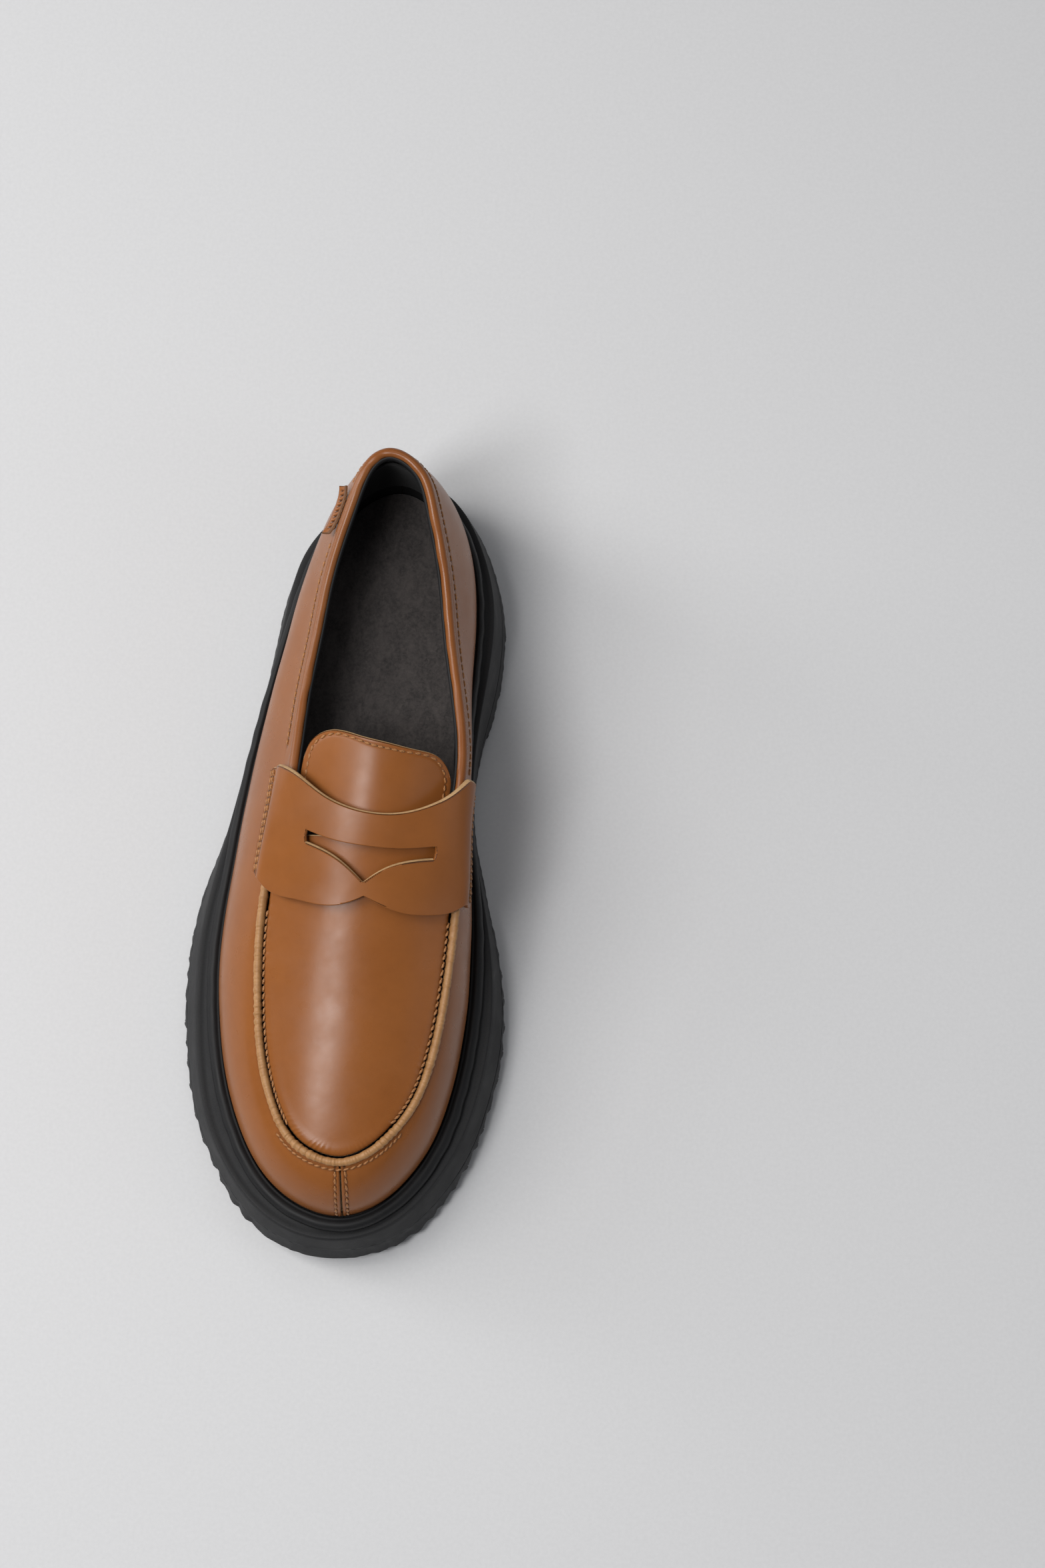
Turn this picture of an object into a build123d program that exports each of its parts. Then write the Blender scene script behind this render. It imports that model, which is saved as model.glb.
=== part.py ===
from build123d import *

import math
import os

import numpy as np

# Penny loafer, one shoe of a pair, for the wearer's right foot.
# Millimetres. +Z is up, the toe points to -Y, the medial (inner) side is +X.
# The origin is under the middle of the shoe's box, on the ground.

# ---------------------------------------------------------------- driving dimensions
GAP = 0.15  # air between stacked layers
LEATHER = 1.6  # upper leather
STIFFENER = 1.0  # toe puff, heel counter and side stays
LINING = 1.0  # lining leather
WALL = LEATHER + STIFFENER + LINING + 2 * GAP  # whole thickness of the upper's wall
RIM_GAP = 1.6  # the wall stops this far short of its top line
SURFACE_TOL = 5e-3
LASTED_TOL = 2e-2  # for the quarters, which turn a tight corner
PROFILE_POINTS = 38  # along a quarter's section, from the turned-in edge to the rim

INSOLE_BOARD = 1.3
FOAM = 4.0
SUEDE = 1.1
MARGIN_WIDTH = 13.0  # leather turned in under the insole board
MARGIN_TOP = -2.3  # measured from the insole board's top, like the next values
MARGIN_LOW = MARGIN_TOP - LEATHER
MIDSOLE_TOP = MARGIN_LOW - 0.1
FOOT_LEVEL = -0.5  # where the wall starts, above the turned corner
OUTSOLE_SHARE = 0.42  # of the height from the tread to the midsole's top
TREAD_CUT = 1.0
ARCH_HEIGHT = 11.0
ARCH_FRONT_Y = -26.0
BREAST_Y = 55.0

LOW_LEVEL = 6.0  # height of the sole's lower outline
HIGH_LEVEL = 32.0  # height of the sole's upper outline
BOTTOM_TUCK = 1.2  # the side draws in below LOW_LEVEL, as a share of the flare above it
LUG_PITCH = 9.6
LUG_DEPTH = 5.0
LUG_GROOVE = 3.4

SHANK_WIDTH = 15.0
SHANK_LENGTH = 120.0
RIVETS = ((3.5, 14.0), (5.5, 92.0))  # x and y of each
RIVET_HOLE = 3.3

SEAM = 0.15  # half the gap at a butted seam
STRAP_LINE_Y = 4.0  # the vamp lining meets the quarter linings here
APRON_REAR_Y = -4.0
PIPING_END_Y = 9.0
COLLAR_END_Y = 11.5

STRAP = 1.8
STRAP_LIFT = 0.35
STRAP_CROWN_LIFT = 3.4
STRAP_END_LATERAL = (0.754, -0.002)  # place v on the wall where y is 0, and its change with y
STRAP_END_MEDIAL = (0.68, 0.0)
TONGUE_LINING = 0.9
TAB_Y = (108.0, 124.0)
TAB_WIDTH = 3.6
TAB_THICK = 1.2

STITCH = (2.3, 0.55, 0.4)  # length, width and height of one visible stitch
STITCH_PITCH = 3.0
STRAP_STITCH_PITCH = 2.6
TOPLINE_STITCH = 6.0  # from the top line to the row below the collar
APRON_STITCH = 3.4  # from the top line to the row on the apron
APRON_STITCH_END_Y = -34.0
TONGUE_STITCH = 2.4  # from the tongue's edge to its row
TONGUE_STITCH_FROM_Y = 22.0

# Foot line and top line of the upper, from the toe seam round the lateral side to the
# heel and back along the medial side: foot x, foot y, top x, top y, top z (None follows
# the apron), then how far the profile's two handles lean out, the upper handle's drop,
# and the width of the welt.
STATIONS = (
    (8.2, -136.2, 6.6, -119.3, None, 1.5, 8.0, 1.5, 5.3),
    (-4.0, -135.0, -3.0, -117.9, None, 1.5, 8.0, 1.5, 5.3),
    (-18.6, -126.7, -12.9, -111.6, None, 1.7, 7.6, 1.8, 5.3),
    (-31.0, -110.0, -20.4, -99.2, None, 2.0, 7.0, 2.2, 5.3),
    (-39.3, -89.5, -25.7, -83.0, None, 2.3, 7.0, 2.5, 5.3),
    (-44.4, -65.0, -29.0, -61.5, None, 2.5, 7.0, 3.0, 5.2),
    (-46.3, -38.0, -30.4, -37.0, None, 2.5, 6.5, 4.0, 4.9),
    (-44.8, -14.0, -29.0, -14.0, None, 2.2, 5.5, 7.0, 4.5),
    (-42.8, 8.0, -25.6, 8.0, None, 2.2, 4.8, 10.0, 4.2),
    (-40.4, 28.0, -24.0, 27.0, 81.2, 2.5, 4.4, 12.5, 4.0),
    (-37.0, 50.0, -23.2, 50.0, 78.3, 3.0, 4.2, 14.0, 3.8),
    (-33.0, 72.0, -20.8, 72.0, 79.8, 3.5, 4.2, 14.5, 3.6),
    (-28.5, 94.0, -17.9, 95.0, 84.6, 4.0, 4.2, 15.0, 3.6),
    (-22.8, 114.0, -12.3, 117.0, 92.0, 4.4, 4.2, 17.0, 3.6),
    (-13.0, 131.0, -5.3, 132.8, 96.0, 4.8, 4.2, 19.0, 3.6),
    (5.0, 140.5, 3.6, 138.9, 97.2, 5.0, 4.0, 20.0, 3.6),
    (21.5, 132.5, 13.4, 132.4, 96.2, 4.8, 4.2, 19.0, 3.6),
    (31.8, 115.5, 21.0, 118.5, 92.4, 4.4, 4.2, 17.0, 3.6),
    (36.0, 96.0, 26.7, 98.0, 86.0, 4.0, 4.2, 15.0, 3.6),
    (36.8, 75.0, 31.0, 75.0, 80.3, 3.7, 4.2, 14.5, 3.4),
    (36.6, 52.0, 36.0, 52.0, 78.3, 3.6, 4.2, 14.0, 3.0),
    (37.8, 30.0, 39.6, 29.0, 81.0, 3.2, 3.6, 12.5, 2.8),
    (40.8, 8.0, 39.4, 8.0, None, 2.6, 3.2, 11.0, 3.0),
    (44.2, -14.0, 40.4, -14.0, None, 2.0, 3.4, 8.0, 4.0),
    (46.2, -38.0, 40.3, -37.0, None, 1.8, 4.0, 6.0, 5.0),
    (46.4, -62.0, 39.0, -60.0, None, 1.8, 4.6, 5.0, 5.3),
    (44.0, -85.0, 36.0, -81.5, None, 1.8, 5.2, 4.0, 5.3),
    (39.0, -104.5, 30.8, -97.5, None, 1.8, 5.8, 3.0, 5.3),
    (30.5, -120.5, 23.1, -108.9, None, 1.7, 6.6, 2.2, 5.3),
    (19.5, -131.5, 15.3, -115.9, None, 1.5, 7.6, 1.7, 5.3),
)
HEEL_STATION = 15

# Edge of the sole, same direction: x and y at LOW_LEVEL, then x and y at HIGH_LEVEL.
SOLE_EDGE = (
    (9.0, -150.6, 8.6, -144.0),
    (-10.4, -149.4, -9.2, -142.8),
    (-31.8, -136.0, -28.0, -130.6),
    (-42.1, -121.8, -37.6, -118.2),
    (-49.9, -107.3, -44.4, -104.8),
    (-57.3, -82.6, -50.2, -81.0),
    (-60.9, -56.0, -52.8, -55.6),
    (-60.6, -33.0, -53.4, -33.0),
    (-56.5, -10.0, -51.0, -10.0),
    (-50.4, 12.0, -47.6, 12.0),
    (-46.6, 30.0, -44.6, 30.0),
    (-43.8, 48.0, -41.4, 48.0),
    (-41.6, 68.0, -38.4, 68.0),
    (-39.4, 90.0, -35.6, 90.2),
    (-35.4, 110.0, -31.6, 111.0),
    (-23.6, 129.8, -21.0, 128.4),
    (-8.4, 145.2, -7.0, 142.8),
    (8.6, 150.2, 8.2, 147.0),
    (27.6, 141.8, 25.8, 138.5),
    (40.8, 122.0, 38.0, 119.4),
    (47.0, 103.0, 43.4, 102.0),
    (48.7, 86.0, 44.7, 86.0),
    (47.2, 66.0, 43.4, 66.0),
    (44.4, 52.0, 42.0, 52.0),
    (42.2, 36.0, 41.4, 36.0),
    (43.0, 18.0, 42.4, 18.0),
    (47.0, 2.0, 45.2, 2.0),
    (51.6, -14.0, 49.0, -14.0),
    (56.6, -30.0, 52.2, -30.0),
    (60.6, -50.0, 54.2, -50.0),
    (61.1, -72.0, 53.6, -70.0),
    (58.2, -90.0, 51.4, -87.5),
    (53.4, -108.0, 47.0, -104.0),
    (44.2, -126.2, 38.4, -121.5),
    (28.5, -143.5, 25.4, -136.6),
)

# Height of the insole board's top along the shoe.
BOARD_Y = (-146.0, -130.0, -110.0, -80.0, -50.0, -20.0, 10.0, 40.0, 70.0, 100.0, 150.0)
BOARD_Z = (34.6, 32.0, 30.0, 28.8, 28.9, 30.6, 33.6, 36.8, 38.9, 39.9, 40.2)

# Height of the apron's and tongue's outer surface along its ridge, how fast it falls
# away to both sides, and where the ridge runs.
RIDGE_Y = (-128.0, -121.0, -100.0, -80.0, -58.0, -40.0, -25.0, 0.0, 20.0, 36.0)
RIDGE_Z = (56.0, 58.3, 63.8, 68.2, 72.6, 77.0, 81.0, 89.0, 94.0, 97.2)
RIDGE_X = (6.5, 6.4, 5.4, 5.2, 4.9, 5.0, 5.4, 6.6, 7.4, 7.6)
RIDGE_FALL = (0.0088, 0.0088, 0.0088, 0.0088, 0.0090, 0.0098, 0.0108, 0.0105, 0.0105, 0.0105)
TONGUE_FALL = 0.0165

# Plan outlines, each a list of x and y.
TONGUE_REAR = (
    (-19.0, 1.0),
    (-20.2, 14.0),
    (-19.6, 23.0),
    (-17.2, 30.0),
    (-12.0, 33.0),
    (1.0, 31.2),
    (12.0, 29.4),
    (22.4, 28.4),
    (30.6, 27.2),
    (34.3, 22.8),
    (34.8, 14.0),
    (34.2, 1.0),
)
STRAP_REAR = (
    (-33.6, 22.6),
    (-22.4, 17.4),
    (-11.5, 9.6),
    (-1.2, 5.0),
    (9.9, 3.4),
    (20.5, 5.0),
    (29.8, 9.0),
    (37.6, 15.0),
    (42.0, 20.5),
)
STRAP_FRONT_LATERAL = (
    (-34.3, -18.0),
    (-29.6, -23.8),
    (-18.3, -28.2),
    (-7.0, -29.8),
    (1.6, -28.6),
    (7.4, -25.8),
)
STRAP_FRONT_MEDIAL = (
    (7.4, -25.8),
    (14.0, -28.4),
    (23.0, -30.2),
    (33.0, -29.4),
    (40.0, -26.6),
    (44.4, -22.6),
)
SLOT_TOP = ((-15.6, -3.8), (-5.0, -7.0), (6.6, -8.4), (19.2, -8.0), (32.0, -5.6))
SLOT_LOW_LATERAL = ((-15.2, -8.0), (-3.6, -13.0), (6.8, -21.0))
SLOT_LOW_MEDIAL = ((6.8, -21.0), (13.4, -16.0), (21.8, -12.2), (31.8, -9.8))


# ---------------------------------------------------------------- curves
def smooth(knots, values, closed=False):
    """Cubic curve through values, with even curvature: free at its ends, or closed."""
    x = np.array(knots, float)
    y = np.array(values, float).reshape(len(values), -1)
    if closed:
        y = np.vstack((y, y[:1]))
    h = np.diff(x)
    n = len(h)
    size = n if closed else n + 1
    matrix = np.zeros((size, size))
    right = np.zeros((size, y.shape[1]))
    for i in range(0 if closed else 1, n):
        before, after = (i - 1) % n, (i + 1) % size
        matrix[i, (i - 1) % size] += h[i]
        matrix[i, i] += 2 * (h[before] + h[i])
        matrix[i, after] += h[before]
        rise_in = (y[i] - y[before]) / h[before]
        rise_out = (y[i + 1] - y[i]) / h[i]
        right[i] = 3 * (h[i] * rise_in + h[before] * rise_out)
    if not closed:
        matrix[0, :2] = 2, 1
        right[0] = 3 * (y[1] - y[0]) / h[0]
        matrix[n, n - 1 :] = 1, 2
        right[n] = 3 * (y[n] - y[n - 1]) / h[n - 1]
    slope = np.linalg.solve(matrix, right)
    if closed:
        slope = np.vstack((slope, slope[:1]))

    def at(place):
        place = x[0] + (place - x[0]) % (x[-1] - x[0]) if closed else place
        i = min(max(int(np.searchsorted(x, place)) - 1, 0), n - 1)
        t = (place - x[i]) / h[i]
        a, b = y[i], y[i + 1]
        m, k = slope[i] * h[i], slope[i + 1] * h[i]
        got = a + t * m + t * t * (3 * (b - a) - 2 * m - k) + t**3 * (2 * (a - b) + m + k)
        return got if len(got) > 1 else float(got[0])

    return at


def distances(points):
    """Distance along a line of points, at each of them."""
    steps = np.linalg.norm(np.diff(np.array(points, float), axis=0), axis=1)
    return np.concatenate(([0.0], np.cumsum(steps)))


board_top = smooth(BOARD_Y, BOARD_Z)
ridge_z = smooth(RIDGE_Y, RIDGE_Z)
ridge_x = smooth(RIDGE_Y, RIDGE_X)
ridge_fall = smooth(RIDGE_Y, RIDGE_FALL)


def apron_height(x, y):
    """Outer surface of the apron, also past its edge."""
    return ridge_z(y) - ridge_fall(y) * (x - ridge_x(y)) ** 2


def tongue_height(x, y):
    """Outer surface of the tongue, which is rounder than the apron."""
    return ridge_z(y) - TONGUE_FALL * (x - ridge_x(y)) ** 2


def height_normal(height, x, y):
    """Unit normal of a height function, upwards."""
    slope_x = height(x + 0.5, y) - height(x - 0.5, y)
    slope_y = height(x, y + 0.5) - height(x, y - 0.5)
    normal = np.array((-slope_x, -slope_y, 1.0))
    return normal / np.linalg.norm(normal)


def station_top(row):
    """Top point of a station, on the apron's surface where no height is given."""
    x, y, z = row[2:5]
    return (x, y, apron_height(x, y) if z is None else z)


STATION_U = distances([row[:2] for row in (*STATIONS, STATIONS[0])])
AROUND = float(STATION_U[-1])
HEEL_U = float(STATION_U[HEEL_STATION])

foot_line = smooth(STATION_U, [row[:2] for row in STATIONS], closed=True)
top_line = smooth(STATION_U, [station_top(row) for row in STATIONS], closed=True)
profile_shape = smooth(STATION_U, [row[5:8] for row in STATIONS], closed=True)
welt_width = smooth(STATION_U, [row[8] for row in STATIONS], closed=True)


def outward(line, u):
    """Level unit vector that points out of the shoe from a line around it."""
    ahead = (line(u + 0.5) - line(u - 0.5))[:2]
    ahead = ahead / np.linalg.norm(ahead)
    return np.array((-ahead[1], ahead[0], 0.0))


def foot_point(u):
    """Point of the foot line, at the level where the wall starts."""
    x, y = foot_line(u)
    return np.array((x, y, board_top(y) + FOOT_LEVEL))


def on_board(point, level):
    """The same plan place, at a level measured from the insole board's top."""
    return np.array((point[0], point[1], board_top(point[1]) + level))


def wall_point(u, v):
    """Outer surface of the upper's wall: v is 0 at the foot line and 1 at the top line."""
    foot, top, out = foot_point(u), top_line(u), outward(foot_line, u)
    lean, shoulder, drop = profile_shape(u)
    rise = top[2] - foot[2]
    low = foot + out * lean + np.array((0, 0, 0.42 * rise))
    high = top + out * shoulder - np.array((0, 0, drop))
    w = 1 - v
    return w**3 * foot + 3 * w * w * v * low + 3 * w * v * v * high + v**3 * top


def wall_normal(u, v):
    """Unit vector out of the wall."""
    along = wall_point(u + 0.5, v) - wall_point(u - 0.5, v)
    up = wall_point(u, min(v + 0.01, 1.0)) - wall_point(u, v - 0.01)
    normal = np.cross(up, along)
    return normal / np.linalg.norm(normal)


def wall_inside(u, v, depth):
    """Point at a depth under the wall's outer surface."""
    return wall_point(u, v) - depth * wall_normal(u, v)


def rim(u, short=RIM_GAP):
    """v that stops a little short of the top line."""
    return 1 - short / (3 * np.linalg.norm(profile_shape(u)[1:]))


def u_at(y, lateral):
    """Place around the shoe where the foot line passes a given y."""
    low, high = (0.0, HEEL_U) if lateral else (HEEL_U, AROUND)
    for _ in range(40):
        middle = (low + high) / 2
        behind = foot_line(middle)[1] > y
        if behind == lateral:
            high = middle
        else:
            low = middle
    return (low + high) / 2


# ---------------------------------------------------------------- solids from grids
def skin(outer, inner, tol=SURFACE_TOL, low_degree=1):
    """Solid between two grids of points of the same size."""
    faces = [
        Face.make_surface_from_array_of_points(grid, tol=tol, min_deg=low_degree)
        for grid in (outer, inner)
    ]
    borders = [ordered_border(face, grid) for face, grid in zip(faces, (outer, inner))]
    sides = [Face.make_surface_from_curves(a, b) for a, b in zip(*borders)]
    return closed_solid([*faces, *sides])


def ordered_border(face, grid):
    """The four edges of a grid's face, in order round its corners."""
    corners = (grid[0][0], grid[0][-1], grid[-1][-1], grid[-1][0])
    edges = face.edges()
    return [
        min(edges, key=lambda edge: edge_miss(edge, corners[i], corners[(i + 1) % 4]))
        for i in range(4)
    ]


def edge_miss(edge, start, end):
    """How far an edge's ends are from two points, in either order."""
    a, b = edge.position_at(0), edge.position_at(1)
    start, end = Vector(*start), Vector(*end)
    straight = (a - start).length + (b - end).length
    return min(straight, (a - end).length + (b - start).length)


def closed_solid(faces):
    """Solid inside a closed set of faces, turned the right way out."""
    body = Solid(Shell(faces))
    return body if body.volume > 0 else Solid(Shell([-face for face in faces]))


def as_tuples(points):
    """Points as plain tuples."""
    return [tuple(map(float, point)) for point in points]


def wall_layer(u0, u1, v0, v1, near, far, rows=None, columns=11):
    """Layer of the wall between two depths, over a range of u, from v0 up to v1 or the rim."""
    us = np.linspace(u0, u1, rows or max(8, int(abs(u1 - u0) / 5.0)))
    spread = np.linspace(0, 1, columns)

    def placed(depth):
        grid = []
        for u in us:
            bottom = v0(u) if callable(v0) else v0
            top = v1(u) if callable(v1) else v1
            vs = bottom + (top - bottom) * spread
            grid.append(as_tuples([wall_inside(u, v, depth) for v in vs]))
        return grid

    return skin(placed(near), placed(far))


def evenly(points, count):
    """The same line with its points spread evenly along it."""
    along = distances(points)
    places = np.linspace(0.0, along[-1], count)
    return [[np.interp(place, along, axis) for axis in np.array(points).T] for place in places]


def lasted_layer(u0, u1):
    """Leather of one side: turned in under the board, round the corner and up to the rim."""
    us = np.linspace(u0, u1, int(abs(u1 - u0) / 4.0))
    corner = FOOT_LEVEL - MARGIN_LOW
    turns = np.radians(np.linspace(90, 9, 10))

    def row(u, depth):
        foot, out = foot_point(u), outward(foot_line, u)
        turned_in = np.linspace(MARGIN_WIDTH, corner + 0.2, 12)
        points = [on_board(foot - out * inward, MARGIN_LOW + depth) for inward in turned_in]
        reach = corner - depth
        for turn in turns:
            level, drop = reach * math.cos(turn), reach * math.sin(turn)
            points.append(on_board(foot + out * (level - corner), FOOT_LEVEL - drop))
        points += [wall_inside(u, v, depth) for v in np.linspace(0.0, 1.0, 50) * rim(u)]
        return as_tuples(evenly(points, PROFILE_POINTS))

    grids = [[row(u, depth) for u in us] for depth in (0.0, LEATHER)]
    return skin(*grids, tol=LASTED_TOL, low_degree=3)


def ribbon(line, u0, u1, section, base):
    """Long moulding along a line: section is a dome over a flat base, as out and up values."""
    us = np.linspace(u0, u1, int(abs(u1 - u0) / 3.5))

    def row(u, shape):
        origin, out = line(u), outward(line, u)
        return as_tuples([origin + out * side + np.array((0, 0, up)) for side, up in shape])

    return skin([row(u, section) for u in us], [row(u, base) for u in us])


def sheet(height, xs, ys, near, far):
    """Solid under a height function, between two depths along its normal."""

    def point(x, y, depth):
        place = np.array((x, y, height(x, y))) - depth * height_normal(height, x, y)
        return tuple(map(float, place))

    grids = [[[point(x, y, depth) for x in xs] for y in ys] for depth in (near, far)]
    return skin(*grids)


def upright(edges, low, high):
    """Prism with vertical sides over a closed plan outline."""
    face = Face(Wire(edges))
    face = face if face.normal_at().Z > 0 else -face
    return Solid.extrude(face.moved(Location((0, 0, low))), Vector(0, 0, high - low))


def inset_outline(inset):
    """Closed plan outline: the foot line moved inwards."""
    points = []
    for u in np.linspace(0.0, AROUND, 44, endpoint=False):
        x, y = (foot_point(u) - inset * outward(foot_line, u))[:2]
        points.append((float(x), float(y), 0.0))
    return [Spline(*points, periodic=True)]


def band(low, high, y0=-170.0, y1=170.0, half_width=90.0):
    """Slab across the shoe between two height functions of y."""
    ys = np.linspace(y0, y1, 19)
    under = Spline(*[(0, float(y), float(low(y))) for y in ys])
    over = Spline(*[(0, float(y), float(high(y))) for y in ys])
    ends = [Line(under @ 0, over @ 0), Line(under @ 1, over @ 1)]
    face = Face(Wire([under, over, *ends])).moved(Location((-half_width, 0, 0)))
    return Solid.extrude(face, Vector(2 * half_width, 0, 0))


def only(shape):
    """The one solid of a result."""
    return max(shape.solids(), key=lambda solid: solid.volume)


def slab(outline, low, high):
    """Part of a prism between two heights that are measured from the insole board's top."""
    prism = upright(outline, -5.0, 70.0)
    return only(prism & band(lambda y: board_top(y) + low, lambda y: board_top(y) + high))


# ---------------------------------------------------------------- bottom unit
SOLE_U = distances([row[:2] for row in (*SOLE_EDGE, SOLE_EDGE[0])])
SOLE_AROUND = float(SOLE_U[-1])
sole_edge = smooth(SOLE_U, SOLE_EDGE, closed=True)


def sole_point(u, z):
    """Point on the side of the sole, which is widest at LOW_LEVEL."""
    low_x, low_y, high_x, high_y = sole_edge(u)
    share = (z - LOW_LEVEL) / (HIGH_LEVEL - LOW_LEVEL)
    share = share if z > LOW_LEVEL else -BOTTOM_TUCK * share
    return np.array((low_x + share * (high_x - low_x), low_y + share * (high_y - low_y), z))


def tread_curve(y):
    """Sprung toe and rounded heel; below the ground where the tread is cut flat."""
    toe = 11.0 * max(0.0, (-80.0 - y) / 71.0) ** 1.9
    heel = 4.0 * max(0.0, (y - 126.0) / 26.0) ** 1.8
    return toe + heel - TREAD_CUT


def sole_bottom(y):
    """Underside of the tread."""
    return max(0.0, tread_curve(y))


def arch_bottom(y):
    """Underside of the waist between the tread and the heel."""
    share = min(max((y - ARCH_FRONT_Y + 4.0) / 152.0, 0.0), 1.0)
    return ARCH_HEIGHT * math.sin(math.pi * share) ** 0.8 - 1.0


def parting(y):
    """Height of the joint between outsole and midsole."""
    low = sole_bottom(y)
    return low + OUTSOLE_SHARE * (board_top(y) + MIDSOLE_TOP - low)


def flared_block():
    """The whole sole before it is split: two outlines joined by a flared side."""
    loops = []
    us = np.linspace(0, SOLE_AROUND, 44, endpoint=False)
    for z in (-4.0, LOW_LEVEL, 44.0):
        points = [tuple(map(float, sole_point(u, z))) for u in us]
        loops.append(Spline(*points, periodic=True))
    sides = [Face.make_surface_from_curves(a, b) for a, b in zip(loops, loops[1:])]
    caps = [Face(Wire([loop])) for loop in (loops[0], loops[-1])]
    return closed_solid([*sides, *caps])


def arch_cutter():
    """Space under the waist: a curved roof from the tread to the upright heel breast."""
    ys = np.linspace(ARCH_FRONT_Y, BREAST_Y, 9)
    roof = Spline(*[(0, float(y), float(arch_bottom(y))) for y in ys])
    low = -9.0
    down = [
        Line(roof @ 1, (0, BREAST_Y, low)),
        Line((0, BREAST_Y, low), (0, ARCH_FRONT_Y, low)),
        Line((0, ARCH_FRONT_Y, low), roof @ 0),
    ]
    face = Face(Wire([roof, *down])).moved(Location((-90, 0, 0)))
    return Solid.extrude(face, Vector(180, 0, 0))


def lug_grooves():
    """Cutters for the scalloped edge and the tread blocks of the forefoot and heel."""
    cutters = []
    count = int(SOLE_AROUND / LUG_PITCH)
    for i in range(count):
        u = (i + 0.5) * SOLE_AROUND / count
        edge = sole_point(u, 0.0)
        on_heel = edge[1] > BREAST_Y + 6.0
        if edge[1] > ARCH_FRONT_Y - 2.0 and not (on_heel and i % 3 == 0):
            continue
        ahead = sole_point(u + 1, 0.0) - sole_point(u - 1, 0.0)
        angle = math.degrees(math.atan2(ahead[1], ahead[0])) + 90.0
        reach = 15.0 if i % 2 else 11.0
        base = sole_bottom(edge[1])
        groove = Box(2 * reach, LUG_GROOVE, 2 * LUG_DEPTH)
        place = Location((edge[0], edge[1], base), (0, 0, angle))
        cutters.append(groove.moved(place))
    for y in (-104.0, -84.0, -64.0, -44.0, 84.0, 104.0):
        base = sole_bottom(y)
        cross = Box(42.0, LUG_GROOVE, 2 * LUG_DEPTH).moved(Location((3.0, y, base)))
        cutters.append(cross)
    return cutters


def make_sole():
    """Outsole with tread and midsole with the flat ledge that carries the welt."""
    block = flared_block()
    above_ground = Box(200, 400, 100, align=(Align.CENTER, Align.CENTER, Align.MIN))
    outsole = only(block & band(tread_curve, lambda y: parting(y) - 0.05) & above_ground)
    outsole = only(outsole - arch_cutter())
    outsole = only(outsole - Compound(children=lug_grooves()))
    midsole = only(block & band(lambda y: parting(y) + 0.05, lambda y: board_top(y) + MIDSOLE_TOP))
    midsole = only(midsole - arch_cutter())
    return outsole, midsole


def make_welt():
    """Rubber welt bead round the whole upper, butted together at the medial waist."""
    joint = u_at(35.0, False)
    clear = 0.35
    dome = ((1.0, 0.4), (1.0, 2.6), (0.93, 3.9), (0.74, 4.8), (0.5, 5.1), (0.26, 4.9), (0.07, 4.4))
    base = [(1.0 - 0.93 * i / (len(dome) - 1), 0.1) for i in range(len(dome))]
    us = np.linspace(joint + 0.3, joint + AROUND - 0.3, 150)

    def row(u, shape):
        foot, out, width = foot_point(u), outward(foot_line, u), welt_width(u)
        points = [
            on_board(foot + out * (clear + side * width), MIDSOLE_TOP + up) for side, up in shape
        ]
        return as_tuples(points)

    return skin([row(u, dome) for u in us], [row(u, base) for u in us])


# ---------------------------------------------------------------- inside the bottom
def rivet_holes(diameter):
    """Upright cylinders at the shank's rivets."""
    return [Cylinder(diameter / 2, 60.0).moved(Location((x, y, 35.0))) for x, y in RIVETS]


def make_board():
    """Insole board with two rivet holes."""
    board = slab(inset_outline(WALL + 0.5), -0.1 - INSOLE_BOARD, -0.1)
    for hole in rivet_holes(RIVET_HOLE):
        board = only(board - hole)
    return board


def make_shank():
    """Curved steel strip in the waist, with rounded ends and two holes."""
    plan = SlotOverall(SHANK_LENGTH, SHANK_WIDTH, rotation=90).moved(Location((4.5, 52.0, 0)))
    strip = Solid.extrude(plan.faces()[0], Vector(0, 0, 70.0))
    low, high = MARGIN_LOW + 0.65, MARGIN_TOP
    strip = only(strip & band(lambda y: board_top(y) + low, lambda y: board_top(y) + high))
    for hole in rivet_holes(RIVET_HOLE):
        strip = only(strip - hole)
    return strip


def make_rivets():
    """Two rivets: a shaft through shank and board, and a thin head under the shank."""
    rivets = []
    for x, y in RIVETS:
        low = board_top(y) + MARGIN_LOW + 0.16
        high = board_top(y) - 0.2
        shaft = Cylinder(1.5, high - low, align=(Align.CENTER, Align.CENTER, Align.MIN))
        head = Cylinder(2.2, 0.2, align=(Align.CENTER, Align.CENTER, Align.MIN))
        rivets.append(only(shaft + head).moved(Location((x, y, low))))
    return rivets


def make_filler():
    """Cork that levels the forefoot inside the turned-in leather."""
    cork = slab(inset_outline(MARGIN_WIDTH + 0.6), MARGIN_LOW, MARGIN_TOP)
    front = Box(200, 200, 200).moved(Location((0, -14.0 - 100.0, 0)))
    return only(cork & front)


def make_footbed():
    """Foam footbed and its suede cover, both down to the toe."""
    foam = slab(inset_outline(WALL + 0.5), 0.0, FOAM)
    cover = slab(inset_outline(WALL + 0.6), FOAM + 0.1, FOAM + 0.1 + SUEDE)
    return foam, cover


# ---------------------------------------------------------------- upper
def make_quarters():
    """Outer leather of both sides, butted at the toe seam and at the heel seam."""
    lateral = lasted_layer(SEAM, HEEL_U - SEAM)
    medial = lasted_layer(HEEL_U + SEAM, AROUND - SEAM)
    return lateral, medial


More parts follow.
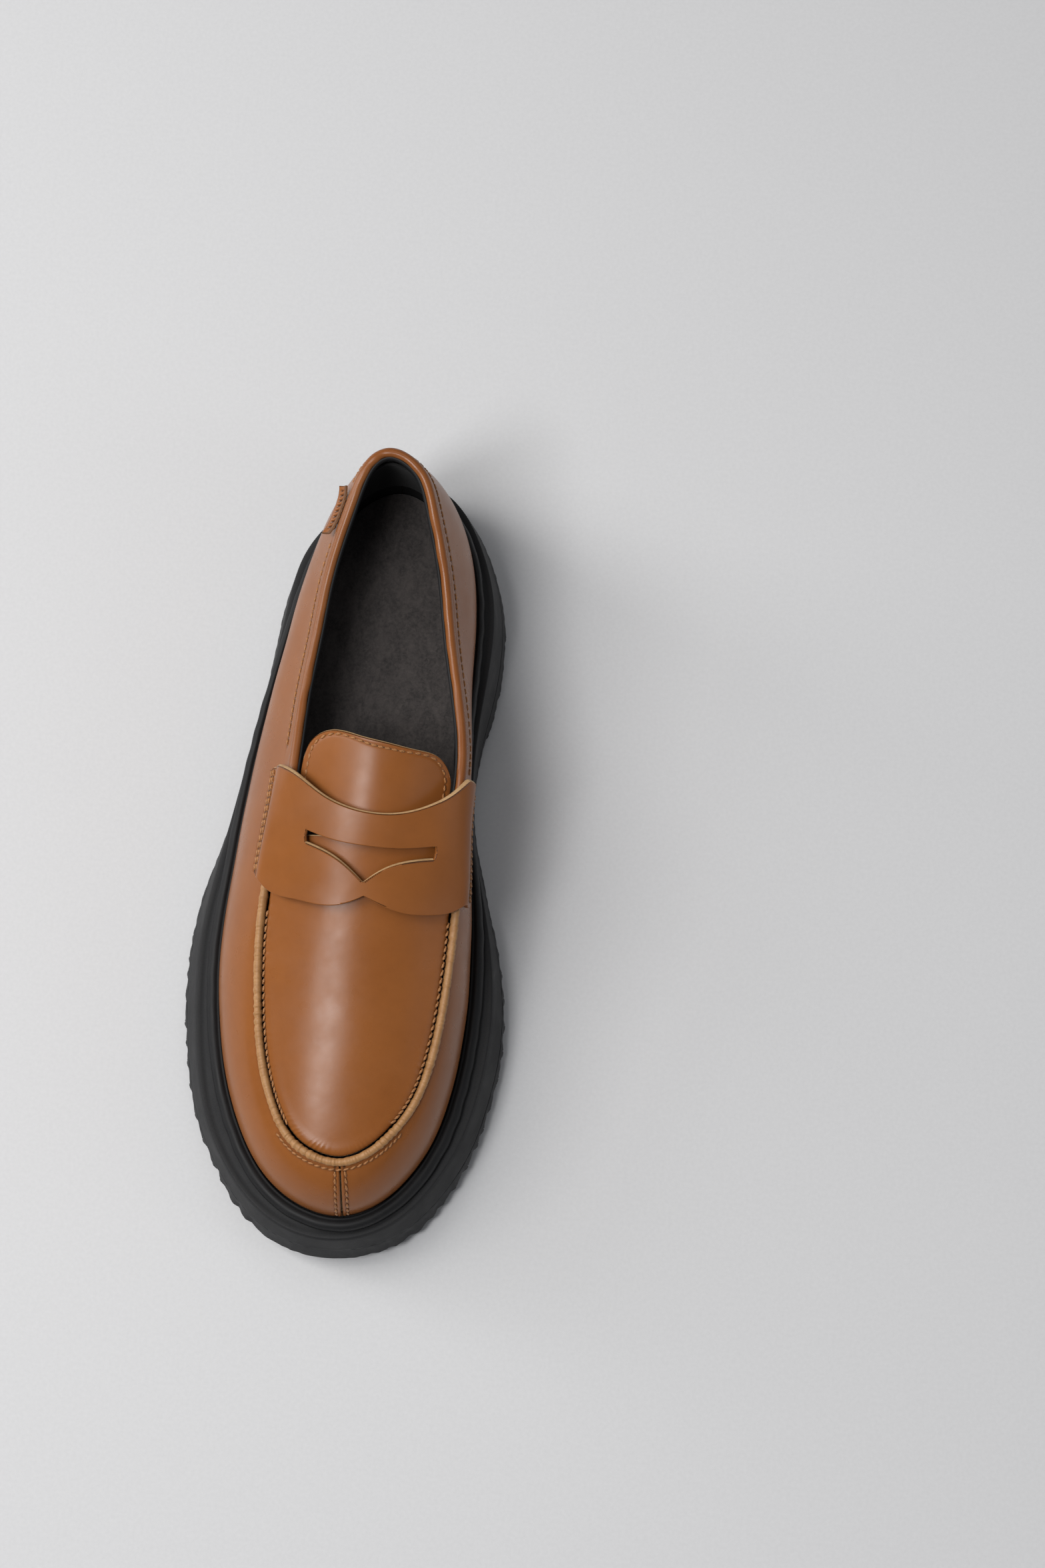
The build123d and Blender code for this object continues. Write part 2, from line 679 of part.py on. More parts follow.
def make_stiffeners():
    """Toe puff, heel counter and a side stay under each end of the strap."""
    near, far = LEATHER + GAP, LEATHER + GAP + STIFFENER
    puff = wall_layer(-46.0, 46.0, 0.03, 0.82, near, far)
    counter = wall_layer(HEEL_U - 84.0, HEEL_U + 84.0, 0.03, 0.66, near, far)
    stays = []
    for lateral in (True, False):
        a, b = sorted((u_at(-20.0, lateral), u_at(30.0, lateral)))
        stays.append(wall_layer(a, b, 0.3, 0.86, near, far))
    return puff, counter, *stays


def make_linings():
    """Vamp lining round the toe and a quarter lining on each side."""
    near, far = WALL - LINING, WALL
    a, b = u_at(STRAP_LINE_Y, True), u_at(STRAP_LINE_Y, False)
    vamp = wall_layer(b - AROUND + SEAM, a - SEAM, 0.02, rim, near, far)
    lateral = wall_layer(a + SEAM, HEEL_U - SEAM, 0.02, rim, near, far)
    medial = wall_layer(HEEL_U + SEAM, b - SEAM, 0.02, rim, near, far)
    return vamp, lateral, medial


def make_heel_grip():
    """Suede grip glued inside the heel."""
    near = WALL + 0.25
    return wall_layer(HEEL_U - 42.0, HEEL_U + 42.0, 0.2, 0.8, near, near + 0.7)


def apron_outline(inset):
    """Plan outline of the apron: the top line moved in, closed under the strap."""
    a = u_at(APRON_REAR_Y, True)
    b = u_at(APRON_REAR_Y, False)
    us = np.linspace(b - AROUND, a, 44)
    points = [top_line(u) - inset * outward(top_line, u) for u in us]
    edge = Spline(*[(float(p[0]), float(p[1]), 0.0) for p in points])
    return [edge, Line(edge @ 1, edge @ 0)]


def make_apron():
    """Apron leather and its lining, cut from the same curved surface."""
    xs, ys = np.linspace(-38, 48, 18), np.linspace(-130, 4, 26)
    leather = sheet(apron_height, xs, ys, 0.0, LEATHER)
    lining = sheet(apron_height, xs, ys, LEATHER + GAP, LEATHER + GAP + 0.8)
    leather = only(leather & upright(apron_outline(1.9), 30, 110))
    lining = only(lining & upright(apron_outline(4.6), 30, 110))
    return leather, lining


def make_piping():
    """Raised leather piping over the seam between apron and wall."""
    a, b = u_at(PIPING_END_Y, True), u_at(PIPING_END_Y, False)
    half = ((1.25, -0.6), (1.35, 0.3), (1.0, 1.1), (0.4, 1.6))
    dome = (*half, *[(-side, up) for side, up in half[::-1]])
    base = [(1.0 - 2.0 * i / (len(dome) - 1), -1.1) for i in range(len(dome))]
    return ribbon(top_line, b - AROUND, a, dome, base)


def make_collar_binding():
    """Rolled leather binding on the edge of the opening, from strap to strap."""
    a, b = u_at(COLLAR_END_Y, True), u_at(COLLAR_END_Y, False)
    dome = (
        (0.3, -0.9),
        (0.4, -0.1),
        (0.1, 0.8),
        (-0.7, 1.5),
        (-1.8, 1.8),
        (-2.9, 1.5),
        (-3.7, 0.8),
        (-4.1, -0.1),
        (-4.0, -0.9),
    )
    base = [(0.2 - 4.1 * i / (len(dome) - 1), -1.25) for i in range(len(dome))]
    return ribbon(top_line, a, b, dome, base)


# ---------------------------------------------------------------- strap and tongue
def wall_at_y(y, v, lateral):
    """Wall point and normal at a given y and v."""
    u = u_at(y, lateral)
    for _ in range(4):
        u += (y - wall_point(u, v)[1]) * (1 if lateral else -1)
    return wall_point(u, v), wall_normal(u, v)


def strap_section(y):
    """Outer surface of the strap across the shoe at one y, from its lateral end."""
    points = []
    lift = STRAP_LIFT + STRAP
    for lateral in (True, False):
        side = []
        low, change = STRAP_END_LATERAL if lateral else STRAP_END_MEDIAL
        low += change * y
        for share, more in ((0.0, 0.0), (0.24, 0.0), (0.48, 0.4), (0.74, 1.6)):
            place, normal = wall_at_y(y, low + share * (1 - low), lateral)
            side.append(place + normal * (lift + more))
        top = top_line(u_at(y, lateral))
        out = -1.0 if lateral else 1.0
        side.append(np.array((top[0] + 0.6 * out, y, apron_height(top[0], y) + lift + 2.9)))
        middle_x = ridge_x(y) + 0.5 * (top[0] - ridge_x(y))
        side.append(np.array((middle_x, y, apron_height(middle_x, y) + STRAP + STRAP_CROWN_LIFT)))
        points.append(side)
    centre = ridge_x(y)
    crown = np.array((centre, y, apron_height(centre, y) + STRAP + STRAP_CROWN_LIFT))
    line = [*points[0], crown, *points[1][::-1]]
    along = distances(line)
    return smooth(along, line), float(along[-1])


def strap_outline():
    """Plan outline of the strap: curved rear edge, lobed front edge with a centre notch."""
    rear = Spline(*[(x, y, 0) for x, y in STRAP_REAR])
    front_lateral = Spline(*[(x, y, 0) for x, y in STRAP_FRONT_LATERAL])
    front_medial = Spline(*[(x, y, 0) for x, y in STRAP_FRONT_MEDIAL])
    far_lateral, far_medial = -52.0, 58.0
    corners = (
        rear @ 1,
        Vector(far_medial, STRAP_REAR[-1][1], 0),
        Vector(far_medial, STRAP_FRONT_MEDIAL[-1][1], 0),
        front_medial @ 1,
    )
    back_corners = (
        front_lateral @ 0,
        Vector(far_lateral, STRAP_FRONT_LATERAL[0][1], 0),
        Vector(far_lateral, STRAP_REAR[0][1], 0),
        rear @ 0,
    )
    edges = [rear, front_lateral, front_medial]
    for chain in (corners, back_corners):
        edges += [Line(a, b) for a, b in zip(chain, chain[1:])]
    return edges


def slot_outline():
    """Plan outline of the slot: a shallow upper curve over a pointed lower edge."""
    top = Spline(*[(x, y, 0) for x, y in SLOT_TOP])
    low_lateral = Spline(*[(x, y, 0) for x, y in SLOT_LOW_LATERAL])
    low_medial = Spline(*[(x, y, 0) for x, y in SLOT_LOW_MEDIAL])
    ends = [Line(top @ 0, low_lateral @ 0), Line(low_medial @ 1, top @ 1)]
    return [top, low_lateral, low_medial, *ends]


def make_strap():
    """Saddle strap: one thick patch over both sides, trimmed to its outline and slotted."""
    ys = np.linspace(-35.0, 27.0, 14)
    sections = [strap_section(float(y)) for y in ys]
    across = np.linspace(0, 1, 37)
    outer = [[at(share * length) for share in across] for at, length in sections]
    outer = np.array(outer)
    along_y = np.gradient(outer, axis=0)
    along_x = np.gradient(outer, axis=1)
    normal = np.cross(along_x, along_y)
    normal /= np.linalg.norm(normal, axis=2)[:, :, None]
    inner = outer - STRAP * normal
    strap = skin([as_tuples(row) for row in outer], [as_tuples(row) for row in inner])
    strap = only(strap & upright(strap_outline(), 30, 120))
    return only(strap - upright(slot_outline(), 60, 120))


def tongue_outline(inset):
    """Plan outline of the tongue: straight under the strap, rounded at its free end."""
    rear = [(x, y, 0) for x, y in TONGUE_REAR]
    centre = Vector(7.4, 16.0, 0)
    pulled = []
    for point in rear:
        arm = Vector(*point) - centre
        pulled.append(centre + arm * (1 - inset / arm.length))
    edge = Spline(*pulled)
    return [edge, Line(edge @ 1, edge @ 0)]


def make_tongue():
    """Tongue leather and its lining."""
    xs, ys = np.linspace(-24, 39, 14), np.linspace(-3, 38, 10)
    leather = sheet(tongue_height, xs, ys, 0.0, LEATHER)
    lining = sheet(tongue_height, xs, ys, LEATHER + 0.1, LEATHER + 0.1 + TONGUE_LINING)
    leather = only(leather & upright(tongue_outline(0.0), 50, 120))
    lining = only(lining & upright(tongue_outline(0.5), 50, 120))
    return leather, lining


def make_tab():
    """Small leather tab sewn into the lateral edge of the opening."""
    us = np.linspace(u_at(TAB_Y[0], True), u_at(TAB_Y[1], True), 9)
    lift = 0.3

    def row(u, depth):
        points = []
        for down in np.linspace(0, 1, 4):
            place, normal = wall_point(u, rim(u, 5.0 + TAB_WIDTH * down)), wall_normal(u, 0.85)
            flare = 1.4 * down * down
            points.append(place + normal * (lift + depth + flare))
        return as_tuples(points)

    return skin([row(u, TAB_THICK) for u in us], [row(u, 0.0) for u in us])


# ---------------------------------------------------------------- thread
def stitches(places, lift=0.06):
    """Separate short stitches: each place is a point, a direction and a surface normal."""
    length, width, height = STITCH
    row = []
    for point, ahead, normal in places:
        ahead = ahead - normal * float(np.dot(ahead, normal))
        origin = point + normal * (height / 2 + lift)
        plane = Plane(origin=tuple(origin), x_dir=tuple(ahead), z_dir=tuple(normal))
        row.append(Box(length, width, height).solid().moved(plane.location))
    return row


def along_wall(u0, u1, v_of):
    """Evenly spaced stitch places on the wall along a line given by v as a function of u."""
    places = []
    for u in np.arange(u0 + STITCH_PITCH / 2, u1, STITCH_PITCH):
        ahead = wall_point(u + 0.5, v_of(u + 0.5)) - wall_point(u - 0.5, v_of(u - 0.5))
        places.append((wall_point(u, v_of(u)), ahead, wall_normal(u, v_of(u))))
    return places


def make_topline_thread():
    """Row of stitches below the collar, from strap to strap, leaving out the tab."""

    def below_rim(u):
        return rim(u, TOPLINE_STITCH)

    a, b = u_at(30.0, True), u_at(26.0, False)
    before, after = u_at(TAB_Y[0] - 2, True), u_at(TAB_Y[1] + 2, True)
    return stitches(along_wall(a, before, below_rim) + along_wall(after, b, below_rim))


def make_toe_thread():
    """Two short rows, one on each side of the toe seam."""
    places = []
    for u in (2.0, -2.0):
        for v in np.arange(0.2, 0.86, 0.1):
            ahead = wall_point(u, v + 0.02) - wall_point(u, v - 0.02)
            places.append((wall_point(u, v), ahead, wall_normal(u, v)))
    return stitches(places)


def make_apron_thread():
    """Row of stitches on the apron just inside the piping."""
    a, b = u_at(APRON_STITCH_END_Y, True), u_at(APRON_STITCH_END_Y, False)
    places = []
    for u in np.arange(b - AROUND, a, STITCH_PITCH):
        spots = []
        for near in (u - 0.5, u, u + 0.5):
            x, y = (top_line(near) - APRON_STITCH * outward(top_line, near))[:2]
            spots.append(np.array((x, y, apron_height(x, y))))
        normal = height_normal(apron_height, *spots[1][:2])
        places.append((spots[1], spots[2] - spots[0], normal))
    return stitches(places)


def make_strap_threads():
    """Double rows of stitches near each end of the strap."""
    rows = []
    for lateral, y_low, y_high in ((True, -15.0, 19.0), (False, -19.5, 17.0)):
        places = []
        for inset in (0.012, 0.042):
            for y in np.arange(y_low, y_high, STRAP_STITCH_PITCH):
                spots = []
                for near in (y - 0.6, y, y + 0.6):
                    at, length = strap_section(near)
                    share = inset if lateral else 1 - inset
                    spots.append(at(share * length))
                at, length = strap_section(y)
                share = inset if lateral else 1 - inset
                across = at((share + 0.01) * length) - at((share - 0.01) * length)
                ahead = spots[2] - spots[0]
                normal = np.cross(across, ahead)
                places.append((spots[1], ahead, normal / np.linalg.norm(normal)))
        rows.append(stitches(places, lift=0.4))
    return rows


def make_tongue_thread():
    """Row of stitches just inside the tongue's free edge."""
    edge = tongue_outline(TONGUE_STITCH)[0]
    count = int(edge.length / STITCH_PITCH)
    places = []
    for i in range(1, count):
        spots = []
        for share in ((i - 0.15) / count, i / count, (i + 0.15) / count):
            p = edge.position_at(share)
            spots.append(np.array((p.X, p.Y, tongue_height(p.X, p.Y))))
        x, y = spots[1][:2]
        if y < TONGUE_STITCH_FROM_Y:
            continue
        places.append((spots[1], spots[2] - spots[0], height_normal(tongue_height, x, y)))
    return stitches(places)


# ---------------------------------------------------------------- build and write
def build():
    """Every node of the shoe by name."""
    nodes = {}
    nodes["outsole"], nodes["midsole"] = make_sole()
    nodes["welt"] = make_welt()
    nodes["insole_board"] = make_board()
    nodes["shank"] = make_shank()
    nodes["shank_rivets"] = make_rivets()
    nodes["bottom_filler"] = make_filler()
    nodes["footbed_foam"], nodes["footbed_cover"] = make_footbed()
    nodes["quarter_lateral"], nodes["quarter_medial"] = make_quarters()
    stiffeners = ("toe_puff", "heel_counter", "side_stay_lateral", "side_stay_medial")
    nodes.update(zip(stiffeners, make_stiffeners()))
    linings = ("vamp_lining", "quarter_lining_lateral", "quarter_lining_medial")
    nodes.update(zip(linings, make_linings()))
    nodes["heel_grip"] = make_heel_grip()
    nodes["apron"], nodes["apron_lining"] = make_apron()
    nodes["apron_piping"] = make_piping()
    nodes["collar_binding"] = make_collar_binding()
    nodes["saddle_strap"] = make_strap()
    nodes["tongue"], nodes["tongue_lining"] = make_tongue()
    nodes["heel_tab"] = make_tab()
    nodes["thread_topline"] = make_topline_thread()
    nodes["thread_toe_seam"] = make_toe_thread()
    nodes["thread_apron"] = make_apron_thread()
    strap_threads = make_strap_threads()
    nodes["thread_strap_lateral"], nodes["thread_strap_medial"] = strap_threads
    nodes["thread_tongue"] = make_tongue_thread()
    return nodes


os.makedirs("parts", exist_ok=True)
for name, shape in build().items():
    whole = Compound(children=shape) if isinstance(shape, list) else shape
    export_step(whole, f"parts/{name}.step")
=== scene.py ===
"""Visual model of a penny loafer for the right foot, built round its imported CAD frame."""
import math

import bpy
import numpy as np
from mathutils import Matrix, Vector


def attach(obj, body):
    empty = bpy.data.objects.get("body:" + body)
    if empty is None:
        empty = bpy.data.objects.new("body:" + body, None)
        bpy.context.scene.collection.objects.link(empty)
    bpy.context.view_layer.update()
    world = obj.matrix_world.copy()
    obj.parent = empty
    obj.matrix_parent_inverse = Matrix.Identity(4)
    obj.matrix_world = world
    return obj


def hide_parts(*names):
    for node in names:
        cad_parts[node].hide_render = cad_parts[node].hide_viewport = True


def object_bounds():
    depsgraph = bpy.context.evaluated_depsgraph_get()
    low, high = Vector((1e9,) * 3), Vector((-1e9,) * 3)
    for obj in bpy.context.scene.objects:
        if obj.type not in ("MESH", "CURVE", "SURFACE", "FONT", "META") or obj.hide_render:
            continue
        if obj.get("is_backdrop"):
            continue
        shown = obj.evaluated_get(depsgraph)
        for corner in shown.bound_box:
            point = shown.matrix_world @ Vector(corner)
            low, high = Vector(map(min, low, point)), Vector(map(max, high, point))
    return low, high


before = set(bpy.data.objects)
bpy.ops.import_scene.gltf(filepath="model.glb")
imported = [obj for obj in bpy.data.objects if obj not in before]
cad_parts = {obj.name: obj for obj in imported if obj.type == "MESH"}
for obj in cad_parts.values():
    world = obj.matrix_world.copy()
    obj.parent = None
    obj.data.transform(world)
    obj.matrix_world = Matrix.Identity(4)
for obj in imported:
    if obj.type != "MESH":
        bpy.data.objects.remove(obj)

cad_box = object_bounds()

# The shoe's own tables are in millimetres, as its CAD source has them. Meshes are written
# in metres. +Z is up, the toe points to -Y and the medial side is +X.
MM = 0.001
UP = np.array((0.0, 0.0, 1.0))
LEATHER, STIFFENER, LINING, GAP = 1.6, 1.0, 1.0, 0.15
WALL = LEATHER + STIFFENER + LINING + 2 * GAP
FOAM, SUEDE = 4.0, 1.1
MARGIN_WIDTH, MARGIN_LOW, FOOT_LEVEL = 13.0, -3.9, -0.5
MIDSOLE_TOP = -4.0
OUTSOLE_SHARE = 0.42
ARCH_HEIGHT, ARCH_FRONT_Y, BREAST_Y = 11.0, -26.0, 55.0
LOW_LEVEL, HIGH_LEVEL, BOTTOM_TUCK = 6.0, 32.0, 1.2
LUG_DEPTH, TREAD_MIDDLE_X = 5.0, 3.0
TOE_SPRING, HEEL_SPRING = 11.0, 4.0
TREAD_BARS = (-104.0, -84.0, -64.0, -44.0, 84.0, 104.0)
STRAP, STRAP_LIFT, STRAP_CROWN_LIFT = 1.8, 0.35, 3.4
STRAP_END_LATERAL, STRAP_END_MEDIAL = (0.754, -0.002), (0.68, 0.0)
STRAP_MIDDLE_X, SLOT_MIDDLE_X = 7.4, 6.8
STITCH_PITCH, STRAP_END_PITCH = 3.0, 2.6
TOE_HEIGHT, BARE_TOE = 32.0, 34.0  # wall's height, and half the toe stitched below the piping
TAB_Y, TAB_WIDTH, TAB_LEATHER, TAB_SLOT_PITCH = (105.8, 121.6), 3.6, 1.1, 1.9
TONGUE_LINING, COVER_LOW, LINING_SHORT = 0.9, FOAM + 0.1, 1.6
PIPING_END_Y, COLLAR_END_Y, APRON_REAR_Y = 9.0, 11.5, -4.0

# Foot line and top line of the upper, from the toe seam round the lateral side to the
# heel and back along the medial side: foot x, foot y, top x, top y, top z (None follows
# the apron), then how far the profile's two handles lean out, the upper handle's drop,
# and the width of the welt.
STATIONS = (
    (8.2, -136.2, 6.6, -119.3, None, 1.5, 8.0, 1.5, 5.3),
    (-4.0, -135.0, -3.0, -117.9, None, 1.5, 8.0, 1.5, 5.3),
    (-18.6, -126.7, -12.9, -111.6, None, 1.7, 7.6, 1.8, 5.3),
    (-31.0, -110.0, -20.4, -99.2, None, 2.0, 7.0, 2.2, 5.3),
    (-39.3, -89.5, -25.7, -83.0, None, 2.3, 7.0, 2.5, 5.3),
    (-44.4, -65.0, -29.0, -61.5, None, 2.5, 7.0, 3.0, 5.2),
    (-46.3, -38.0, -30.4, -37.0, None, 2.5, 6.5, 4.0, 4.9),
    (-44.8, -14.0, -29.0, -14.0, None, 2.2, 5.5, 7.0, 4.5),
    (-42.8, 8.0, -25.6, 8.0, None, 2.2, 4.8, 10.0, 4.2),
    (-40.4, 28.0, -24.0, 27.0, 81.2, 2.5, 4.4, 12.5, 4.0),
    (-37.0, 50.0, -23.2, 50.0, 78.3, 3.0, 4.2, 14.0, 3.8),
    (-33.0, 72.0, -20.8, 72.0, 79.8, 3.5, 4.2, 14.5, 3.6),
    (-28.5, 94.0, -17.9, 95.0, 84.6, 4.0, 4.2, 15.0, 3.6),
    (-22.8, 114.0, -12.3, 117.0, 92.0, 4.4, 4.2, 17.0, 3.6),
    (-13.0, 131.0, -6.8, 132.8, 96.0, 4.8, 4.2, 19.0, 3.6),
    (5.0, 140.5, 3.6, 138.9, 97.2, 5.0, 4.0, 20.0, 3.6),
    (21.5, 132.5, 14.8, 132.4, 96.2, 4.8, 4.2, 19.0, 3.6),
    (31.8, 115.5, 21.0, 118.5, 92.4, 4.4, 4.2, 17.0, 3.6),
    (36.0, 96.0, 26.7, 98.0, 86.0, 4.0, 4.2, 15.0, 3.6),
    (36.8, 75.0, 31.0, 75.0, 80.3, 3.7, 4.2, 14.5, 3.4),
    (36.6, 52.0, 36.0, 52.0, 78.3, 3.6, 4.2, 14.0, 3.0),
    (37.8, 30.0, 39.6, 29.0, 81.0, 3.2, 3.6, 12.5, 2.8),
    (40.8, 8.0, 39.4, 8.0, None, 2.6, 3.2, 11.0, 3.0),
    (44.2, -14.0, 40.4, -14.0, None, 2.0, 3.4, 8.0, 4.0),
    (46.2, -38.0, 40.3, -37.0, None, 1.8, 4.0, 6.0, 5.0),
    (46.4, -62.0, 39.0, -60.0, None, 1.8, 4.6, 5.0, 5.3),
    (44.0, -85.0, 36.0, -81.5, None, 1.8, 5.2, 4.0, 5.3),
    (39.0, -104.5, 30.8, -97.5, None, 1.8, 5.8, 3.0, 5.3),
    (30.5, -120.5, 23.1, -108.9, None, 1.7, 6.6, 2.2, 5.3),
    (19.5, -131.5, 15.3, -115.9, None, 1.5, 7.6, 1.7, 5.3),
)
HEEL_STATION = 15

# Edge of the sole, same direction: x and y at LOW_LEVEL, then x and y at HIGH_LEVEL.
SOLE_EDGE = (
    (9.0, -150.6, 8.6, -144.0),
    (-10.4, -149.4, -9.2, -142.8),
    (-31.8, -136.0, -28.0, -130.6),
    (-42.1, -121.8, -37.6, -118.2),
    (-49.9, -107.3, -44.4, -104.8),
    (-57.3, -82.6, -50.2, -81.0),
    (-60.9, -56.0, -52.8, -55.6),
    (-60.6, -33.0, -53.4, -33.0),
    (-56.5, -10.0, -51.0, -10.0),
    (-50.4, 12.0, -47.6, 12.0),
    (-46.6, 30.0, -44.6, 30.0),
    (-43.8, 48.0, -41.4, 48.0),
    (-41.6, 68.0, -38.4, 68.0),
    (-39.4, 90.0, -35.6, 90.2),
    (-35.4, 110.0, -31.6, 111.0),
    (-23.6, 129.8, -21.0, 128.4),
    (-8.4, 145.2, -7.0, 142.8),
    (8.6, 150.2, 8.2, 147.0),
    (27.6, 141.8, 25.8, 138.5),
    (40.8, 122.0, 38.0, 119.4),
    (47.0, 103.0, 43.4, 102.0),
    (48.7, 86.0, 44.7, 86.0),
    (47.2, 66.0, 43.4, 66.0),
    (44.4, 52.0, 42.0, 52.0),
    (42.2, 36.0, 41.4, 36.0),
    (43.0, 18.0, 42.4, 18.0),
    (47.0, 2.0, 45.2, 2.0),
    (51.6, -14.0, 49.0, -14.0),
    (56.6, -30.0, 52.2, -30.0),
    (60.6, -50.0, 54.2, -50.0),
    (61.1, -72.0, 53.6, -70.0),
    (58.2, -90.0, 51.4, -87.5),
    (53.4, -108.0, 47.0, -104.0),
    (44.2, -126.2, 38.4, -121.5),
    (28.5, -143.5, 25.4, -136.6),
)

# Height of the insole board's top along the shoe.
BOARD_Y = (-146.0, -130.0, -110.0, -80.0, -50.0, -20.0, 10.0, 40.0, 70.0, 100.0, 150.0)
BOARD_Z = (34.6, 32.0, 30.0, 28.8, 28.9, 30.6, 33.6, 36.8, 38.9, 39.9, 40.2)

# Height of the apron's and tongue's outer surface along its ridge, how fast it falls
# away to both sides, and where the ridge runs.
RIDGE_Y = (-128.0, -121.0, -100.0, -80.0, -58.0, -40.0, -25.0, 0.0, 20.0, 36.0)
RIDGE_Z = (56.0, 58.3, 63.8, 68.2, 72.6, 77.0, 81.0, 89.0, 94.0, 97.2)
RIDGE_X = (6.5, 6.4, 5.4, 5.2, 4.9, 5.0, 5.4, 6.6, 7.4, 7.6)
RIDGE_FALL = (0.0088, 0.0088, 0.0088, 0.0088, 0.0090, 0.0098, 0.0108, 0.0105, 0.0105, 0.0105)
TONGUE_FALL = 0.0165

# Plan outlines, each a list of x and y.
TONGUE_REAR = (
    (-19.0, 1.0), (-20.2, 14.0), (-19.6, 23.0), (-17.2, 30.0), (-12.0, 33.0), (1.0, 31.2),
    (12.0, 29.4), (22.4, 28.4), (30.6, 27.2), (34.3, 22.8), (34.8, 14.0), (34.2, 1.0),
)
STRAP_REAR = (
    (-33.6, 22.6), (-22.4, 17.4), (-11.5, 9.6), (-1.2, 5.0), (9.9, 3.4), (20.5, 5.0), (29.8, 9.0),
    (37.6, 15.0), (42.0, 20.5),
)
STRAP_FRONT_LATERAL = (
    (-34.3, -18.0), (-29.6, -23.8), (-18.3, -28.2), (-7.0, -29.8), (1.6, -28.6),
    (STRAP_MIDDLE_X, -25.8),
)
STRAP_FRONT_MEDIAL = (
    (STRAP_MIDDLE_X, -25.8), (14.0, -28.4), (23.0, -30.2), (33.0, -29.4), (40.0, -26.6),
    (44.4, -22.6),
)
SLOT_TOP = ((-15.6, -3.8), (-5.0, -7.0), (6.6, -8.4), (19.2, -8.0), (32.0, -5.6))
SLOT_LOW_LATERAL = ((-15.2, -8.0), (-3.6, -13.0), (SLOT_MIDDLE_X, -21.0))
SLOT_LOW_MEDIAL = ((SLOT_MIDDLE_X, -21.0), (13.4, -16.0), (21.8, -12.2), (31.8, -9.8))


# ---------------------------------------------------------------- curves
def smooth(knots, values, closed=False):
    """Cubic curve through values, with even curvature: free at its ends, or closed."""
    x = np.array(knots, float)
    y = np.array(values, float).reshape(len(values), -1)
    if closed:
        y = np.vstack((y, y[:1]))
    h = np.diff(x)
    n = len(h)
    size = n if closed else n + 1
    matrix = np.zeros((size, size))
    right = np.zeros((size, y.shape[1]))
    for i in range(0 if closed else 1, n):
        before, after = (i - 1) % n, (i + 1) % size
        matrix[i, (i - 1) % size] += h[i]
        matrix[i, i] += 2 * (h[before] + h[i])
        matrix[i, after] += h[before]
        rise_in = (y[i] - y[before]) / h[before]
        rise_out = (y[i + 1] - y[i]) / h[i]
        right[i] = 3 * (h[i] * rise_in + h[before] * rise_out)
    if not closed:
        matrix[0, :2] = 2, 1
        right[0] = 3 * (y[1] - y[0]) / h[0]
        matrix[n, n - 1 :] = 1, 2
        right[n] = 3 * (y[n] - y[n - 1]) / h[n - 1]
    slope = np.linalg.solve(matrix, right)
    if closed:
        slope = np.vstack((slope, slope[:1]))

    def at(place):
        place = np.asarray(place, float)
        where = x[0] + (place - x[0]) % (x[-1] - x[0]) if closed else place
        i = np.clip(np.searchsorted(x, where) - 1, 0, n - 1)
        step = h[i][..., None]
        t = (where - x[i])[..., None] / step
        a, b = y[i], y[i + 1]
        m, k = slope[i] * step, slope[i + 1] * step
        got = a + t * m + t * t * (3 * (b - a) - 2 * m - k) + t**3 * (2 * (a - b) + m + k)
        return got if got.shape[-1] > 1 else got[..., 0]

    return at


def distances(points):
    """Distance along a line of points, at each of them."""
    steps = np.linalg.norm(np.diff(np.array(points, float), axis=0), axis=1)
    return np.concatenate(([0.0], np.cumsum(steps)))


def unit(vectors):
    """Vectors scaled to length 1."""
    return vectors / np.maximum(np.linalg.norm(vectors, axis=-1, keepdims=True), 1e-9)


def ramp(value, low, high):
    """0 below low, 1 above high and a smooth rise between."""
    t = np.clip((np.asarray(value, float) - low) / (high - low), 0.0, 1.0)
    return t * t * (3 - 2 * t)


def bump(value, centre, width):
    """Soft bell of height 1."""
    return np.exp(-(((np.asarray(value, float) - centre) / width) ** 2))


def wavy(seed, count=7, low=0.02, high=0.35):
    """Smooth irregular curve of one number, between about -1 and 1."""
    rng = np.random.default_rng(seed)
    rates, turns = rng.uniform(low, high, count), rng.uniform(0, 2 * math.pi, count)

    def at(value):
        value = np.asarray(value, float)[..., None]
        return np.sin(value * rates * 2 * math.pi + turns).sum(axis=-1) / math.sqrt(count)

    return at


board_top = smooth(BOARD_Y, BOARD_Z)
ridge_z = smooth(RIDGE_Y, RIDGE_Z)
ridge_x = smooth(RIDGE_Y, RIDGE_X)
ridge_fall = smooth(RIDGE_Y, RIDGE_FALL)


def apron_height(x, y):
    """Outer surface of the apron, also past its edge."""
    return ridge_z(y) - ridge_fall(y) * (x - ridge_x(y)) ** 2


def tongue_height(x, y):
    """Outer surface of the tongue, which is rounder than the apron."""
    return ridge_z(y) - TONGUE_FALL * (x - ridge_x(y)) ** 2


def on_height(height, x, y, depth=0.0):
    """Points on a height function, moved in along its normal."""
    slope_x = height(x + 0.5, y) - height(x - 0.5, y)
    slope_y = height(x, y + 0.5) - height(x, y - 0.5)
    normal = unit(np.stack((-slope_x, -slope_y, np.ones_like(slope_x)), axis=-1))
    place = np.stack((x, y, height(x, y)), axis=-1)
    return place - np.asarray(depth)[..., None] * normal, normal


def station_top(row):
    """Top point of a station, on the apron's surface where no height is given."""
    x, y, z = row[2:5]
    return (x, y, float(apron_height(x, y)) if z is None else z)


STATION_U = distances([row[:2] for row in (*STATIONS, STATIONS[0])])
AROUND = float(STATION_U[-1])
HEEL_U = float(STATION_U[HEEL_STATION])

